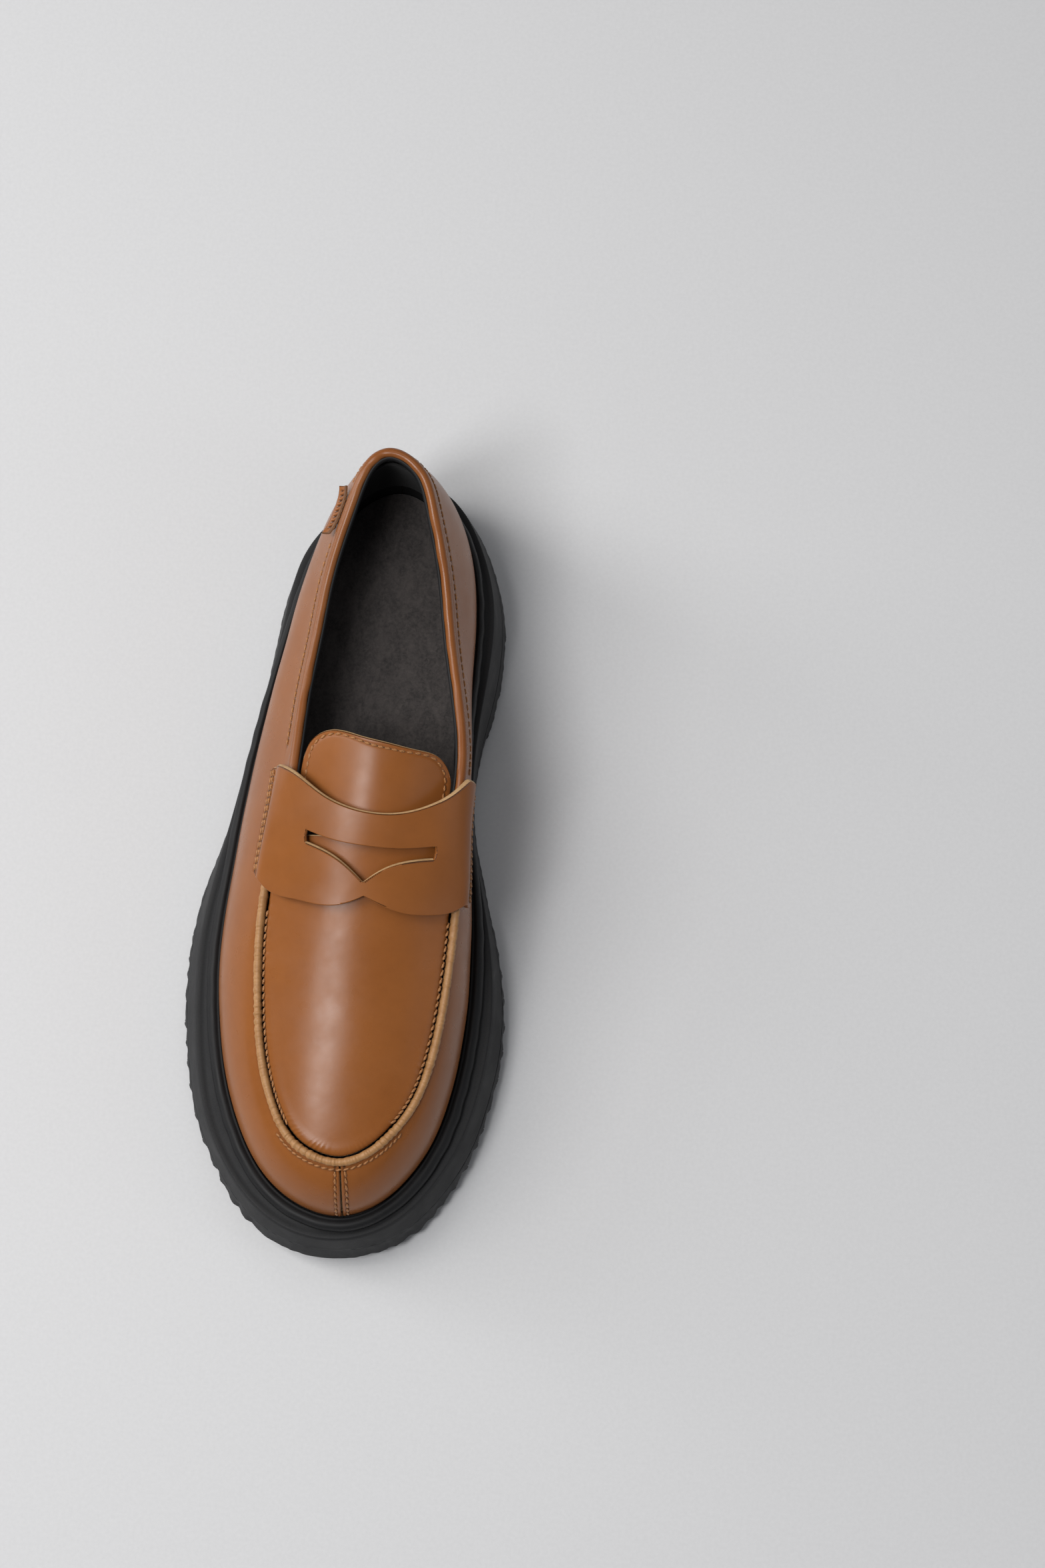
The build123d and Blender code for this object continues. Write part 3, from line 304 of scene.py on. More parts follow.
foot_line = smooth(STATION_U, [row[:2] for row in STATIONS], closed=True)
top_line = smooth(STATION_U, [station_top(row) for row in STATIONS], closed=True)
profile_shape = smooth(STATION_U, [row[5:8] for row in STATIONS], closed=True)
welt_width = smooth(STATION_U, [row[8] for row in STATIONS], closed=True)


def outward(line, u):
    """Level unit vector that points out of the shoe from a line around it."""
    u = np.asarray(u, float)
    ahead = unit((line(u + 0.5) - line(u - 0.5))[..., :2])
    return np.stack((-ahead[..., 1], ahead[..., 0], np.zeros_like(u)), axis=-1)


def foot_point(u):
    """Point of the foot line, at the level where the wall starts."""
    plan = foot_line(u)
    height = board_top(plan[..., 1]) + FOOT_LEVEL
    return np.concatenate((plan, height[..., None]), axis=-1)


def on_board(point, level):
    """The same plan place, at a level measured from the insole board's top."""
    moved = np.array(point, float)
    moved[..., 2] = board_top(moved[..., 1]) + level
    return moved


def wall_point(u, v):
    """Outer surface of the upper's wall: v is 0 at the foot line and 1 at the top line."""
    u, v = np.asarray(u, float), np.asarray(v, float)[..., None]
    foot, top, out = foot_point(u), top_line(u), outward(foot_line, u)
    shape = profile_shape(u)
    rise = (top - foot)[..., 2:]
    low = foot + out * shape[..., :1] + UP * 0.42 * rise
    high = top + out * shape[..., 1:2] - UP * shape[..., 2:]
    w = 1 - v
    return w**3 * foot + 3 * w * w * v * low + 3 * w * v * v * high + v**3 * top


def wall_normal(u, v):
    """Unit vector out of the wall."""
    u, v = np.asarray(u, float), np.asarray(v, float)
    along = wall_point(u + 0.5, v) - wall_point(u - 0.5, v)
    up = wall_point(u, np.minimum(v + 0.01, 1.0)) - wall_point(u, v - 0.01)
    return unit(np.cross(up, along))


def rim(u, short):
    """v that stops a little short of the top line."""
    return 1 - short / (3 * np.linalg.norm(profile_shape(u)[..., 1:], axis=-1))


def line_below_rim(short):
    """v as a function of u, for a line that stays a little below the top line."""
    return lambda u: rim(u, short)


def below_top(u, v):
    """About how far under the top line a wall point is."""
    return (1 - v) * 3 * np.linalg.norm(profile_shape(u)[..., 1:], axis=-1)


def u_where(line, y, lateral):
    """Places around the shoe where a line passes given values of y."""
    us = np.linspace(0.0, HEEL_U, 2400) if lateral else np.linspace(AROUND, HEEL_U, 2400)
    return np.interp(y, np.maximum.accumulate(line(us)[..., 1]), us)


def u_at(y, lateral):
    """Place around the shoe where the foot line passes a given y."""
    return float(u_where(foot_line, y, lateral))


# ---------------------------------------------------------------- meshes
WELD_CELL = 0.006


def lattice(rows, columns, start=0, flip=False):
    """Quads of a grid of points."""
    i, j = np.meshgrid(np.arange(rows - 1), np.arange(columns - 1), indexing="ij")
    a = (start + i * columns + j).ravel()
    quads = np.stack((a, a + columns, a + columns + 1, a + 1), axis=1)
    return quads[:, ::-1] if flip else quads


def welded(points, quads):
    """Points within about 0.002 mm become one; shifted cells catch pairs that one set parts."""
    for shift in (0.0, 0.37, 0.71):
        cells = np.floor(points / WELD_CELL + shift).astype(int)
        _, first, place = np.unique(cells, axis=0, return_index=True, return_inverse=True)
        quads = place.reshape(-1)[quads]
        points = points[first]
    sides = [quads[:, k] != quads[:, k - 1] for k in range(4)]
    return points, quads[np.sum(sides, axis=0) >= 3]


def normals_of(points, quads):
    """Normal at each point, from the quads round it."""
    a, b, c, d = (points[quads[:, k]] for k in range(4))
    across = np.cross(c - a, d - b)
    total = np.zeros_like(points)
    for k in range(4):
        np.add.at(total, quads[:, k], across)
    return unit(total)


def border_loops(quads):
    """Closed runs of border points, each with the surface on its left."""
    sides = {}
    for quad in quads.tolist():
        for k in range(4):
            if quad[k - 1] != quad[k]:
                sides[(quad[k - 1], quad[k])] = True
    after = {a: b for a, b in sides if (b, a) not in sides}
    loops = []
    while after:
        start = next(iter(after))
        loop, at = [], start
        while at in after:
            loop.append(at)
            at = after.pop(at)
        loops.append(np.array(loop))
    return loops


def slab(points, quads, thick, round_top=0.35, round_low=0.2, bevel=None):
    """Sheet with thickness and rounded edges under a surface that is seen from its outside.

    Gives the points, the quads and the kind of each quad: 0 face, 1 edge, 2 underside.
    """
    normal = normals_of(points, quads)
    thick = np.broadcast_to(np.asarray(thick, float), len(points))
    top, low = points.copy(), points - thick[:, None] * normal
    count = len(points)
    blocks, faces, kinds = [], [quads, quads[:, ::-1] + count], [0] * len(quads) + [2] * len(quads)
    start = 2 * count
    for loop in border_loops(quads):
        ahead = points[np.roll(loop, -1)] - points[np.roll(loop, 1)]
        n, t = normal[loop], thick[loop]
        out = unit(np.cross(ahead, n))
        cut = np.zeros(len(loop)) if bevel is None else bevel(out)
        turn = np.linspace(0, math.pi / 2, 4)[1:]
        steps = [(-round_top * (1 - math.sin(a)) - cut, round_top * (1 - math.cos(a))) for a in turn]
        steps += [(0.0 * cut, round_top + 0.75 * cut), (0.0 * cut, t - round_low)]
        steps += [(-0.3 * round_low + 0.0 * cut, t - 0.3 * round_low)]
        top[loop] = points[loop] - out * (round_top + cut)[:, None]
        low[loop] = low[loop] - out * round_low
        rings = [loop]
        for side, depth in steps:
            depth = np.minimum(np.broadcast_to(depth, t.shape), t - 0.3 * round_low)
            blocks.append(points[loop] + out * np.asarray(side)[:, None] - n * depth[:, None])
            rings.append(np.arange(start, start + len(loop)))
            start += len(loop)
        rings.append(loop + count)
        for upper, under in zip(rings, rings[1:]):
            strip = np.stack((np.roll(upper, -1), upper, under, np.roll(under, -1)), axis=1)
            faces.append(strip)
            kinds += [1] * len(strip) if bevel is None else np.where(cut > 0.05, 1, 0).tolist()
    return np.vstack((top, low, *blocks)), np.vstack(faces), np.array(kinds)


def tube(rows):
    """Closed moulding through rings of points, with both ends filled."""
    rows = np.asarray(rows)
    n, m = rows.shape[:2]
    i, j = np.meshgrid(np.arange(n - 1), np.arange(m), indexing="ij")
    a, b = (i * m + j).ravel(), (i * m + (j + 1) % m).ravel()
    quads = np.stack((a, a + m, b + m, b), axis=1)
    centres = np.array((rows[0].mean(axis=0), rows[-1].mean(axis=0)))
    ring, turned = np.arange(m), np.roll(np.arange(m), -1)
    first = np.stack((ring, turned, np.full(m, n * m), np.full(m, n * m)), axis=1)
    last = np.stack((turned, ring, np.full(m, n * m + 1), np.full(m, n * m + 1)), axis=1)
    last[:, :2] += (n - 1) * m
    return np.vstack((rows.reshape(-1, 3), centres)), np.vstack((quads, first, last))


def outside_out(points, quads):
    """Quads of a closed mesh, turned so that they face out."""
    a, b, c, d = (points[quads[:, k]] for k in range(4))
    volume = np.einsum("ij,ij->i", a, np.cross(b, c) + np.cross(c, d)).sum()
    return quads if volume > 0 else quads[:, ::-1]


def piece(name, points, quads, look, slot, nodes=(), body="root", kinds=None, **values):
    """Makes a mesh object in metres that rides a body and stands for CAD nodes."""
    mesh = bpy.data.meshes.new(name)
    faces = [tuple(dict.fromkeys(quad)) for quad in quads.tolist()]
    mesh.from_pydata((points * MM).tolist(), [], faces)
    looks = look if isinstance(look, (list, tuple)) else [look]
    for one in looks:
        mesh.materials.append(one)
    if kinds is not None:
        mesh.polygons.foreach_set("material_index", np.minimum(kinds, len(looks) - 1))
    mesh.polygons.foreach_set("use_smooth", np.ones(len(faces), bool))
    for key, value in values.items():
        layer = mesh.attributes.new(key, "FLOAT", "POINT")
        full = np.zeros(len(points))
        full[: len(value)] = value
        layer.data.foreach_set("value", full.astype(np.float32))
    mesh.update()
    made = bpy.data.objects.new(name, mesh)
    bpy.context.scene.collection.objects.link(made)
    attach(made, body)
    if nodes:
        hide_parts(*nodes)
    return made


def closed_piece(name, shape, look, slot, node):
    """Piece from the points and quads of a closed mesh, with its faces turned out."""
    points, quads = shape
    return piece(name, points, outside_out(points, quads), look, slot, [node])


def sheet_piece(name, sheet, thick, rounds, look, slot, node, body="root", bevel=None, **values):
    """Piece from the points and quads of a sheet's outer surface, given thickness and edges."""
    points, quads, kinds = slab(*sheet, thick, *rounds, bevel)
    return piece(name, points, quads, look, slot, [node], body, kinds, **values)


# ---------------------------------------------------------------- materials
def rgb(red, green, blue):
    """Linear colour from a display colour of 0 to 255."""
    values = [c / 255 for c in (red, green, blue)]
    return (*[c / 12.92 if c <= 0.04045 else ((c + 0.055) / 1.055) ** 2.4 for c in values], 1.0)


class Look:
    """A material and short ways to add nodes to it."""

    def __init__(self, name):
        self.material = bpy.data.materials.new(name)
        self.material.use_nodes = True
        self.tree = self.material.node_tree
        self.shader = self.tree.nodes["Principled BSDF"]
        self.place = self.add("ShaderNodeTexCoord").outputs["Object"]

    def add(self, kind, inputs=None, **settings):
        made = self.tree.nodes.new(kind)
        for key, value in settings.items():
            setattr(made, key, value)
        for key, value in (inputs or {}).items():
            if isinstance(value, bpy.types.NodeSocket):
                self.tree.links.new(value, made.inputs[key])
            else:
                made.inputs[key].default_value = value
        return made

    def noise(self, size_mm, detail=3.0, rough=0.55, place=None, warp=0.0):
        """Noise between 0 and 1 with features of about that size."""
        inputs = {"Vector": place or self.place, "Scale": 1000 / size_mm}
        inputs.update({"Detail": detail, "Roughness": rough, "Distortion": warp})
        return self.add("ShaderNodeTexNoise", inputs).outputs["Fac"]

    def cells(self, size_mm, feature="DISTANCE_TO_EDGE", place=None):
        """Cells of about that size: the distance to their edges, or to their middles."""
        inputs = {"Vector": place or self.place, "Scale": 1000 / size_mm}
        return self.add("ShaderNodeTexVoronoi", inputs, feature=feature).outputs["Distance"]

    def stretched(self, scale):
        """Coordinates scaled by a factor on each axis."""
        inputs = {"Vector": self.place, "Scale": scale}
        return self.add("ShaderNodeMapping", inputs).outputs["Vector"]

    def math(self, operation, a, b=0.0, clamp=False):
        made = self.add("ShaderNodeMath", {0: a, 1: b}, operation=operation, use_clamp=clamp)
        return made.outputs[0]

    def between(self, value, low, high, to_low=0.0, to_high=1.0):
        """Maps a value from one range to another and holds it inside that."""
        inputs = {"Value": value, "From Min": low, "From Max": high}
        inputs.update({"To Min": to_low, "To Max": to_high})
        return self.add("ShaderNodeMapRange", inputs).outputs["Result"]

    def mix(self, share, a, b, blend="MIX"):
        made = self.add("ShaderNodeMix", {0: share, 6: a, 7: b}, data_type="RGBA", blend_type=blend)
        return made.outputs[2]

    def named(self, name):
        """A number that a mesh carries at its points."""
        return self.add("ShaderNodeAttribute", attribute_name=name).outputs["Fac"]

    def raised(self, height, depth_mm, strength=1.0, under=None):
        """Bump of a given depth, over another one if it is given."""
        inputs = {"Height": height, "Distance": depth_mm * MM, "Strength": strength}
        if under is not None:
            inputs["Normal"] = under
        return self.add("ShaderNodeBump", inputs).outputs["Normal"]

    def done(self, colour, rough, normal=None, **fixed):
        for key, value in (("Base Color", colour), ("Roughness", rough), ("Normal", normal)):
            if isinstance(value, bpy.types.NodeSocket):
                self.tree.links.new(value, self.shader.inputs[key])
            elif value is not None:
                self.shader.inputs[key].default_value = value
        for key, value in fixed.items():
            self.shader.inputs[key.replace("_", " ")].default_value = value
        return self.material


def smooth_leather(name, base, light, dark, grain=1.0, rough=0.4):
    """Polished leather with fine grain and uneven dye, and painted shade where the mesh carries a
    painted shade value.
    """
    look = Look(name)
    patches = look.noise(26.0, 3.0)
    mottle = look.noise(3.2, 4.0, 0.6)
    colour = look.mix(look.between(patches, 0.3, 0.72), base, light)
    colour = look.mix(look.between(mottle, 0.4, 0.8, 0.0, 0.07), colour, dark)
    pores = look.cells(0.85)
    colour = look.mix(look.between(pores, 0.0, 0.1, 0.03 * grain, 0.0), colour, dark)
    colour = look.mix(look.named("shade"), colour, dark)
    shine = look.between(look.noise(9.0, 3.0), 0.3, 0.75, rough - 0.04, rough + 0.05)
    crease = look.between(pores, 0.0, 0.16)
    strength = look.between(look.noise(18.0, 2.0), 0.35, 0.7, 0.15, 0.5)
    normal = look.raised(look.noise(7.0, 2.0), 0.10, 0.35)
    wrinkle = look.noise(1.5, 3.0, 0.6, look.stretched((1.0, 0.55, 1.0)), 0.6)
    normal = look.raised(wrinkle, 0.035, look.math("MULTIPLY", strength, 0.8 * grain), normal)
    normal = look.raised(crease, 0.01, look.math("MULTIPLY", strength, 0.5 * grain), normal)
    return look.done(colour, shine, normal, Specular_IOR_Level=0.3)


def raw_leather(name, base, light, dark, streak=0.35):
    """Cut or undyed leather: fibrous, uneven and matt."""
    look = Look(name)
    fibre = look.noise(0.9, 5.0, 0.7, warp=0.8)
    broad = look.noise(5.0, 3.0)
    colour = look.mix(look.between(broad, 0.3, 0.7), base, light)
    colour = look.mix(look.between(fibre, 0.5, 0.75, 0.0, streak), colour, dark)
    # painted shade from the mesh's painted shade value: stitch holes, seams and recesses
    colour = look.mix(look.named("shade"), colour, dark)
    normal = look.raised(fibre, 0.09, 0.5)
    normal = look.raised(look.noise(0.35, 3.0, 0.7), 0.03, 0.4, normal)
    return look.done(colour, look.between(fibre, 0.3, 0.8, 0.45, 0.66), normal)


def moulded(name, base, light, dark, pebble=0.6, depth=0.03, rough=(0.5, 0.72)):
    """Moulded rubber or foam: fine pebble, faint mould flow and dust in the hollows."""
    look = Look(name)
    grit = look.noise(pebble, 3.0, 0.6)
    flow = look.noise(14.0, 4.0, 0.6, warp=0.5)
    specks = look.cells(2.6, "F1")
    colour = look.mix(look.between(flow, 0.35, 0.7), base, light)
    colour = look.mix(look.between(grit, 0.45, 0.7, 0.0, 0.4), colour, dark)
    colour = look.mix(look.between(specks, 0.05, 0.09, 0.25, 0.0), colour, light)
    # painted shade from the mesh's painted shade value: stitch holes, seams and recesses
    colour = look.mix(look.named("shade"), colour, dark)
    normal = look.raised(flow, 0.12, 0.25)
    normal = look.raised(grit, depth, 0.6, normal)
    return look.done(colour, look.between(flow, 0.3, 0.75, *rough), normal, Specular_IOR_Level=0.26)


def napped(name, base, light, dark, nap=0.8, depth=0.16, sheen=0.25):
    """Suede: short brushed fibre with lighter and darker strokes."""
    look = Look(name)
    strokes = look.noise(6.0, 4.0, 0.6, look.stretched((1.0, 0.5, 1.0)), 1.2)
    fibre = look.noise(nap, 5.0, 0.75, warp=0.6)
    colour = look.mix(look.between(fibre, 0.35, 0.68), dark, base)
    colour = look.mix(look.between(strokes, 0.42, 0.75, 0.0, 0.45), colour, light)
    # painted shade from the mesh's painted shade value: stitch holes, seams and recesses
    colour = look.mix(look.named("shade"), colour, dark)
    normal = look.raised(fibre, depth, 0.7)
    normal = look.raised(look.noise(0.28, 2.0, 0.7), 0.05, 0.6, normal)
    return look.done(colour, 0.92, normal, Sheen_Weight=sheen, Sheen_Roughness=0.6)


def twisted(name, base, light, dark):
    """Waxed thread: fine fibre along the twist."""
    look = Look(name)
    fibre = look.noise(0.3, 4.0, 0.7, warp=1.0)
    colour = look.mix(look.between(fibre, 0.35, 0.7), base, light)
    colour = look.mix(look.between(look.noise(0.7, 2.0), 0.5, 0.75, 0.0, 0.5), colour, dark)
    # painted shade from the mesh's painted shade value: stitch holes, seams and recesses
    colour = look.mix(look.named("shade"), colour, dark)
    return look.done(colour, 0.55, look.raised(fibre, 0.05, 0.6), Sheen_Weight=0.15)


def pressed(name, base, dark, size=1.4, depth=0.15, rough=0.85):
    """Pressed fibre, cork or open foam: grains of a given size."""
    look = Look(name)
    grains = look.cells(size)
    fibre = look.noise(size * 0.4, 4.0, 0.7)
    colour = look.mix(look.between(grains, 0.02, 0.25), dark, base)
    colour = look.mix(look.between(fibre, 0.5, 0.8, 0.0, 0.5), colour, dark)
    return look.done(colour, rough, look.raised(fibre, depth, 0.5, look.raised(grains, depth, 0.5)))


def rolled_steel(name):
    """Spring steel with rolling marks along the shoe."""
    look = Look(name)
    marks = look.noise(0.5, 3.0, 0.6, look.stretched((1.0, 0.03, 1.0)))
    colour = look.mix(look.between(marks, 0.35, 0.7), rgb(150, 150, 152), rgb(186, 186, 188))
    rough = look.between(marks, 0.3, 0.7, 0.25, 0.45)
    return look.done(colour, rough, look.raised(marks, 0.02, 0.4), Metallic=1.0)


TAN, TAN_LIGHT, TAN_DARK = rgb(141, 83, 37), rgb(148, 89, 42), rgb(44, 22, 9)
upper_look = smooth_leather("upper_leather", TAN, TAN_LIGHT, TAN_DARK, 0.8, 0.3)
strap_look = smooth_leather("strap_leather", rgb(137, 81, 37), TAN_LIGHT, TAN_DARK, 0.35, 0.33)
binding_look = smooth_leather("binding_leather", rgb(133, 78, 38), rgb(143, 87, 45), TAN_DARK, 0.6, 0.26)
flesh_look = raw_leather("leather_flesh", rgb(108, 72, 42), rgb(124, 86, 54), rgb(60, 38, 21))
cut_look = raw_leather("cut_leather", rgb(186, 148, 104), rgb(200, 164, 120), rgb(112, 76, 46), 0.5)
piping_look = raw_leather("piping_leather", rgb(162, 115, 68), rgb(178, 132, 84), rgb(108, 70, 38), 0.45)
lining_look = smooth_leather(
    "lining_leather", rgb(24, 24, 24), rgb(31, 31, 31), rgb(12, 12, 12), 0.8, 0.55
)
edge_look = smooth_leather("lining_edge", rgb(30, 30, 31), rgb(38, 38, 39), rgb(14, 14, 14), 0.8, 0.6)
grip_look = napped("suede_grip", rgb(26, 25, 25), rgb(33, 32, 32), rgb(15, 14, 14), sheen=0.03)
footbed_look = napped("footbed_suede", rgb(66, 60, 58), rgb(86, 79, 76), rgb(32, 28, 27), 1.3)
foam_look = pressed("footbed_foam", rgb(62, 62, 64), rgb(30, 30, 32), 0.9, 0.2)
board_look = pressed("fibre_board", rgb(158, 146, 122), rgb(112, 100, 80), 1.1, 0.05)
cork_look = pressed("cork", rgb(172, 130, 86), rgb(96, 62, 36), 2.2, 0.12)
steel_look = rolled_steel("shank_steel")
outsole_look = moulded(
    "outsole_rubber", rgb(44, 44, 45), rgb(51, 51, 52), rgb(26, 26, 27), 0.7, 0.04, (0.6, 0.8)
)
midsole_look = moulded(
    "midsole_foam", rgb(38, 38, 39), rgb(45, 45, 46), rgb(22, 22, 23), 0.5, 0.03, (0.58, 0.78)
)
welt_look = moulded(
    "welt_rubber", rgb(27, 27, 28), rgb(33, 33, 34), rgb(15, 15, 16), 0.45, 0.02, (0.5, 0.65)
)
thread_look = twisted("thread", rgb(154, 99, 49), rgb(180, 124, 68), rgb(52, 28, 12))
upper_looks = [upper_look, cut_look, flesh_look]
strap_looks = [strap_look, cut_look, flesh_look]

CARRIED = {
    "insole_board": board_look,
    "toe_puff": board_look,
    "heel_counter": board_look,
    "side_stay_lateral": board_look,
    "side_stay_medial": board_look,
    "bottom_filler": cork_look,
    "shank": steel_look,
    "shank_rivets": steel_look,
    "apron_lining": lining_look,
}
for node_name, look in CARRIED.items():
    node_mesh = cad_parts[node_name].data
    node_mesh.materials.clear()
    node_mesh.materials.append(look)


# ---------------------------------------------------------------- pairs of places round the shoe
def matched(line, toe_u, heel_u, around, ys, front, back=0):
    """Places on the lateral and medial side that pair up: by y along the flanks and evenly
    round the toe and, where back is given, round the heel."""
    halves = []
    for start in (toe_u, toe_u + around):
        table = np.linspace(start, heel_u, 4000)
        flank = np.interp(ys, np.maximum.accumulate(line(table)[:, 1]), table)
        parts = [np.linspace(start, flank[0], front)[:-1], flank]
        if back:
            parts.append(np.linspace(flank[-1], heel_u, back)[1:])
        halves.append(np.concatenate(parts))
    return halves


def spine_between(a, b, y_front, y_back, pull=0.4):
    """Middle line of pairs of edge points, drawn in from both ends, where it runs along y."""
    middle = (a + b) / 2
    y = middle[:, 1]
    y = np.where(y < y_front, y_front + pull * (y - y_front), y)
    middle[:, 1] = np.where(y > y_back, y_back + pull * (y - y_back), y)
    for end in (0, -1):
        away = np.abs(middle[:, 1] - middle[end, 1])
        middle[:, 0] = middle[end, 0] + (middle[:, 0] - middle[end, 0]) * ramp(away, 0.0, 14.0)
    return middle


def shares(near, length, count):
    """Distances from an edge: some fixed ones, then evenly on to the middle line."""
    rest = np.linspace(0, 1, count + 1)[1:]
    tail = near[-1] + (length[:, None] - near[-1]) * rest
    return np.hstack((np.broadcast_to(near, (len(length), len(near))), tail))


def two_halves(halves, middle, make, flips=(False, True)):
    """Joins the lateral and medial half of a piece: make gives a grid of points for each."""
    points, quads, start = [], [], 0
    for us, flip in zip(halves, flips):
        grid = make(us, middle)
        quads.append(lattice(*grid.shape[:2], start, flip))
        points.append(grid.reshape(-1, 3))
        start += len(points[-1])
    return welded(np.vstack(points), np.vstack(quads))


# ---------------------------------------------------------------- bottom unit
SOLE_U = distances([row[:2] for row in (*SOLE_EDGE, SOLE_EDGE[0])])
SOLE_AROUND = float(SOLE_U[-1])
sole_edge = smooth(SOLE_U, SOLE_EDGE, closed=True)


def sole_point(u, z):
    """Point on the side of the sole, which is widest at LOW_LEVEL."""
    edge = sole_edge(u)
    z = np.broadcast_to(np.asarray(z, float), edge.shape[:-1])
    share = (z - LOW_LEVEL) / (HIGH_LEVEL - LOW_LEVEL)
    share = np.where(z > LOW_LEVEL, share, -BOTTOM_TUCK * share)[..., None]
    plan = edge[..., :2] + share * (edge[..., 2:] - edge[..., :2])
    return np.concatenate((plan, z[..., None]), axis=-1)


def sole_bottom(y):
    """Underside of the tread: sprung at the toe and rounded at the heel."""
    toe = TOE_SPRING * np.maximum(0.0, (-80.0 - y) / 71.0) ** 1.9
    heel = HEEL_SPRING * np.maximum(0.0, (y - 126.0) / 26.0) ** 1.8
    return np.maximum(0.0, toe + heel - 1.0)


def sole_base(y):
    """Underside with the waist arch and its upright heel breast."""
    share = np.clip((y - ARCH_FRONT_Y + 4.0) / 152.0, 0.0, 1.0)
    arch = np.maximum(0.0, ARCH_HEIGHT * np.sin(math.pi * share) ** 0.8 - 1.0)
    inside = (y > ARCH_FRONT_Y) & (y < BREAST_Y)
    return np.where(inside, np.maximum(arch, sole_bottom(y)), sole_bottom(y))


def parting(y):
    """Height of the joint between outsole and midsole."""
    low = sole_bottom(y)
    return low + OUTSOLE_SHARE * (board_top(y) + MIDSOLE_TOP - low)


sole_table = np.linspace(-30.0, 30.0, 1200)
SOLE_TOE_U = float(sole_table[np.argmin(sole_edge(sole_table)[:, 1])])
sole_table = np.linspace(SOLE_AROUND * 0.35, SOLE_AROUND * 0.65, 6000)
SOLE_HEEL_U = float(sole_table[np.argmax(sole_edge(sole_table)[:, 1])])


def teeth(seed):
    """Where the sole's edge steps, counted from the toe along one side, and how far in."""
    rng = np.random.default_rng(seed)
    places, depths, at = [], [], rng.uniform(1.0, 6.0)
    while at < SOLE_AROUND / 2:
        places.append(at)
        on_heel = at > 250.0
        depths.append(rng.uniform(0.8, 1.4) if on_heel else rng.uniform(0.6, 1.3))
        at += rng.uniform(20.0, 27.0) if on_heel else rng.uniform(5.6, 11.6)
    return np.array(places), np.array(depths)


TEETH = {True: teeth(11), False: teeth(23)}


def from_toe(u):
    """Distance from the toe along the sole's edge, and which side that is."""
    ahead = (u - SOLE_TOE_U) % SOLE_AROUND
    lateral = ahead < (SOLE_HEEL_U - SOLE_TOE_U)
    return np.where(lateral, ahead, SOLE_AROUND - ahead), lateral


def edge_pattern(u, y):
    """How far the edge stands in, and how open a groove is, at places along the edge."""
    run, lateral = from_toe(u)
    inward, open_ = np.zeros_like(run), np.zeros_like(run)
    for side, (places, depths) in TEETH.items():
        knots = np.concatenate([(at - 2.6, at) for at in places])
        values = np.concatenate([(deep, 0.0) for deep in depths])
        mine = lateral == side
        inward = np.where(mine, np.interp(run, knots, values), inward)
        nearest = np.abs(run[..., None] - (places - 0.4)).min(axis=-1)
        open_ = np.where(mine, 1 - ramp(nearest, 1.35, 1.9), open_)
    treaded = 1 - ramp(y, -34.0, -22.0) + ramp(y, BREAST_Y + 2, BREAST_Y + 10)
    treaded = treaded * np.where(lateral, ramp(run, 6.0, 40.0), ramp(run, 5.0, 30.0))
    return inward * treaded, open_ * (treaded > 0.3) * (1 - ramp(sole_bottom(y), 1.0, 5.0))


def groove(away):
    """1 inside a groove of the tread and 0 outside it, by the distance from its middle."""
    return 1 - ramp(np.abs(away), 1.4, 1.9)


def tread_depth(x, y, inward, open_):
    """Depth of the grooves in the tread."""
    cross, across = np.zeros_like(x), x - TREAD_MIDDLE_X
    for at in TREAD_BARS:
        line = at + 3.0 * np.cos(across / 9.0)
        cross = np.maximum(cross, groove(y - line) * (1 - ramp(np.abs(across), 21, 22)))
    spine = groove(across - 0.03 * y) * (1 - ramp(y, -50.0, -49.0)) * ramp(y, -112.0, -111.0)
    radial = open_ * (1 - ramp(inward, 12.5, 13.5))
    return LUG_DEPTH * np.maximum(radial, np.maximum(cross, spine))


SOLE_YS = np.unique(np.concatenate((np.arange(-96.0, 100.1, 0.7), (BREAST_Y - 0.04, BREAST_Y + 0.04))))
sole_halves = matched(sole_edge, SOLE_TOE_U, SOLE_HEEL_U, SOLE_AROUND, SOLE_YS, 150, 105)
sole_middle = spine_between(
    sole_point(sole_halves[0], LOW_LEVEL), sole_point(sole_halves[1], LOW_LEVEL), -96.0, 96.0
)


rough_edge = wavy(5, 9, 0.03, 0.3)


def side_row(u, z, base):
    """Side of the sole at one height, with the stepped edge low down."""
    place = sole_point(u, z)
    inward, _ = edge_pattern(u, place[..., 1])
    low = 1 - ramp(z - base, 4.0, 9.5)
    flow = 0.1 * rough_edge(u) * (1 - ramp(z - base, 8.0, 14.0)) * ramp(from_toe(u)[0], 1.0, 12.0)
    return place - outward(sole_edge, u) * (inward * low + flow)[..., None]


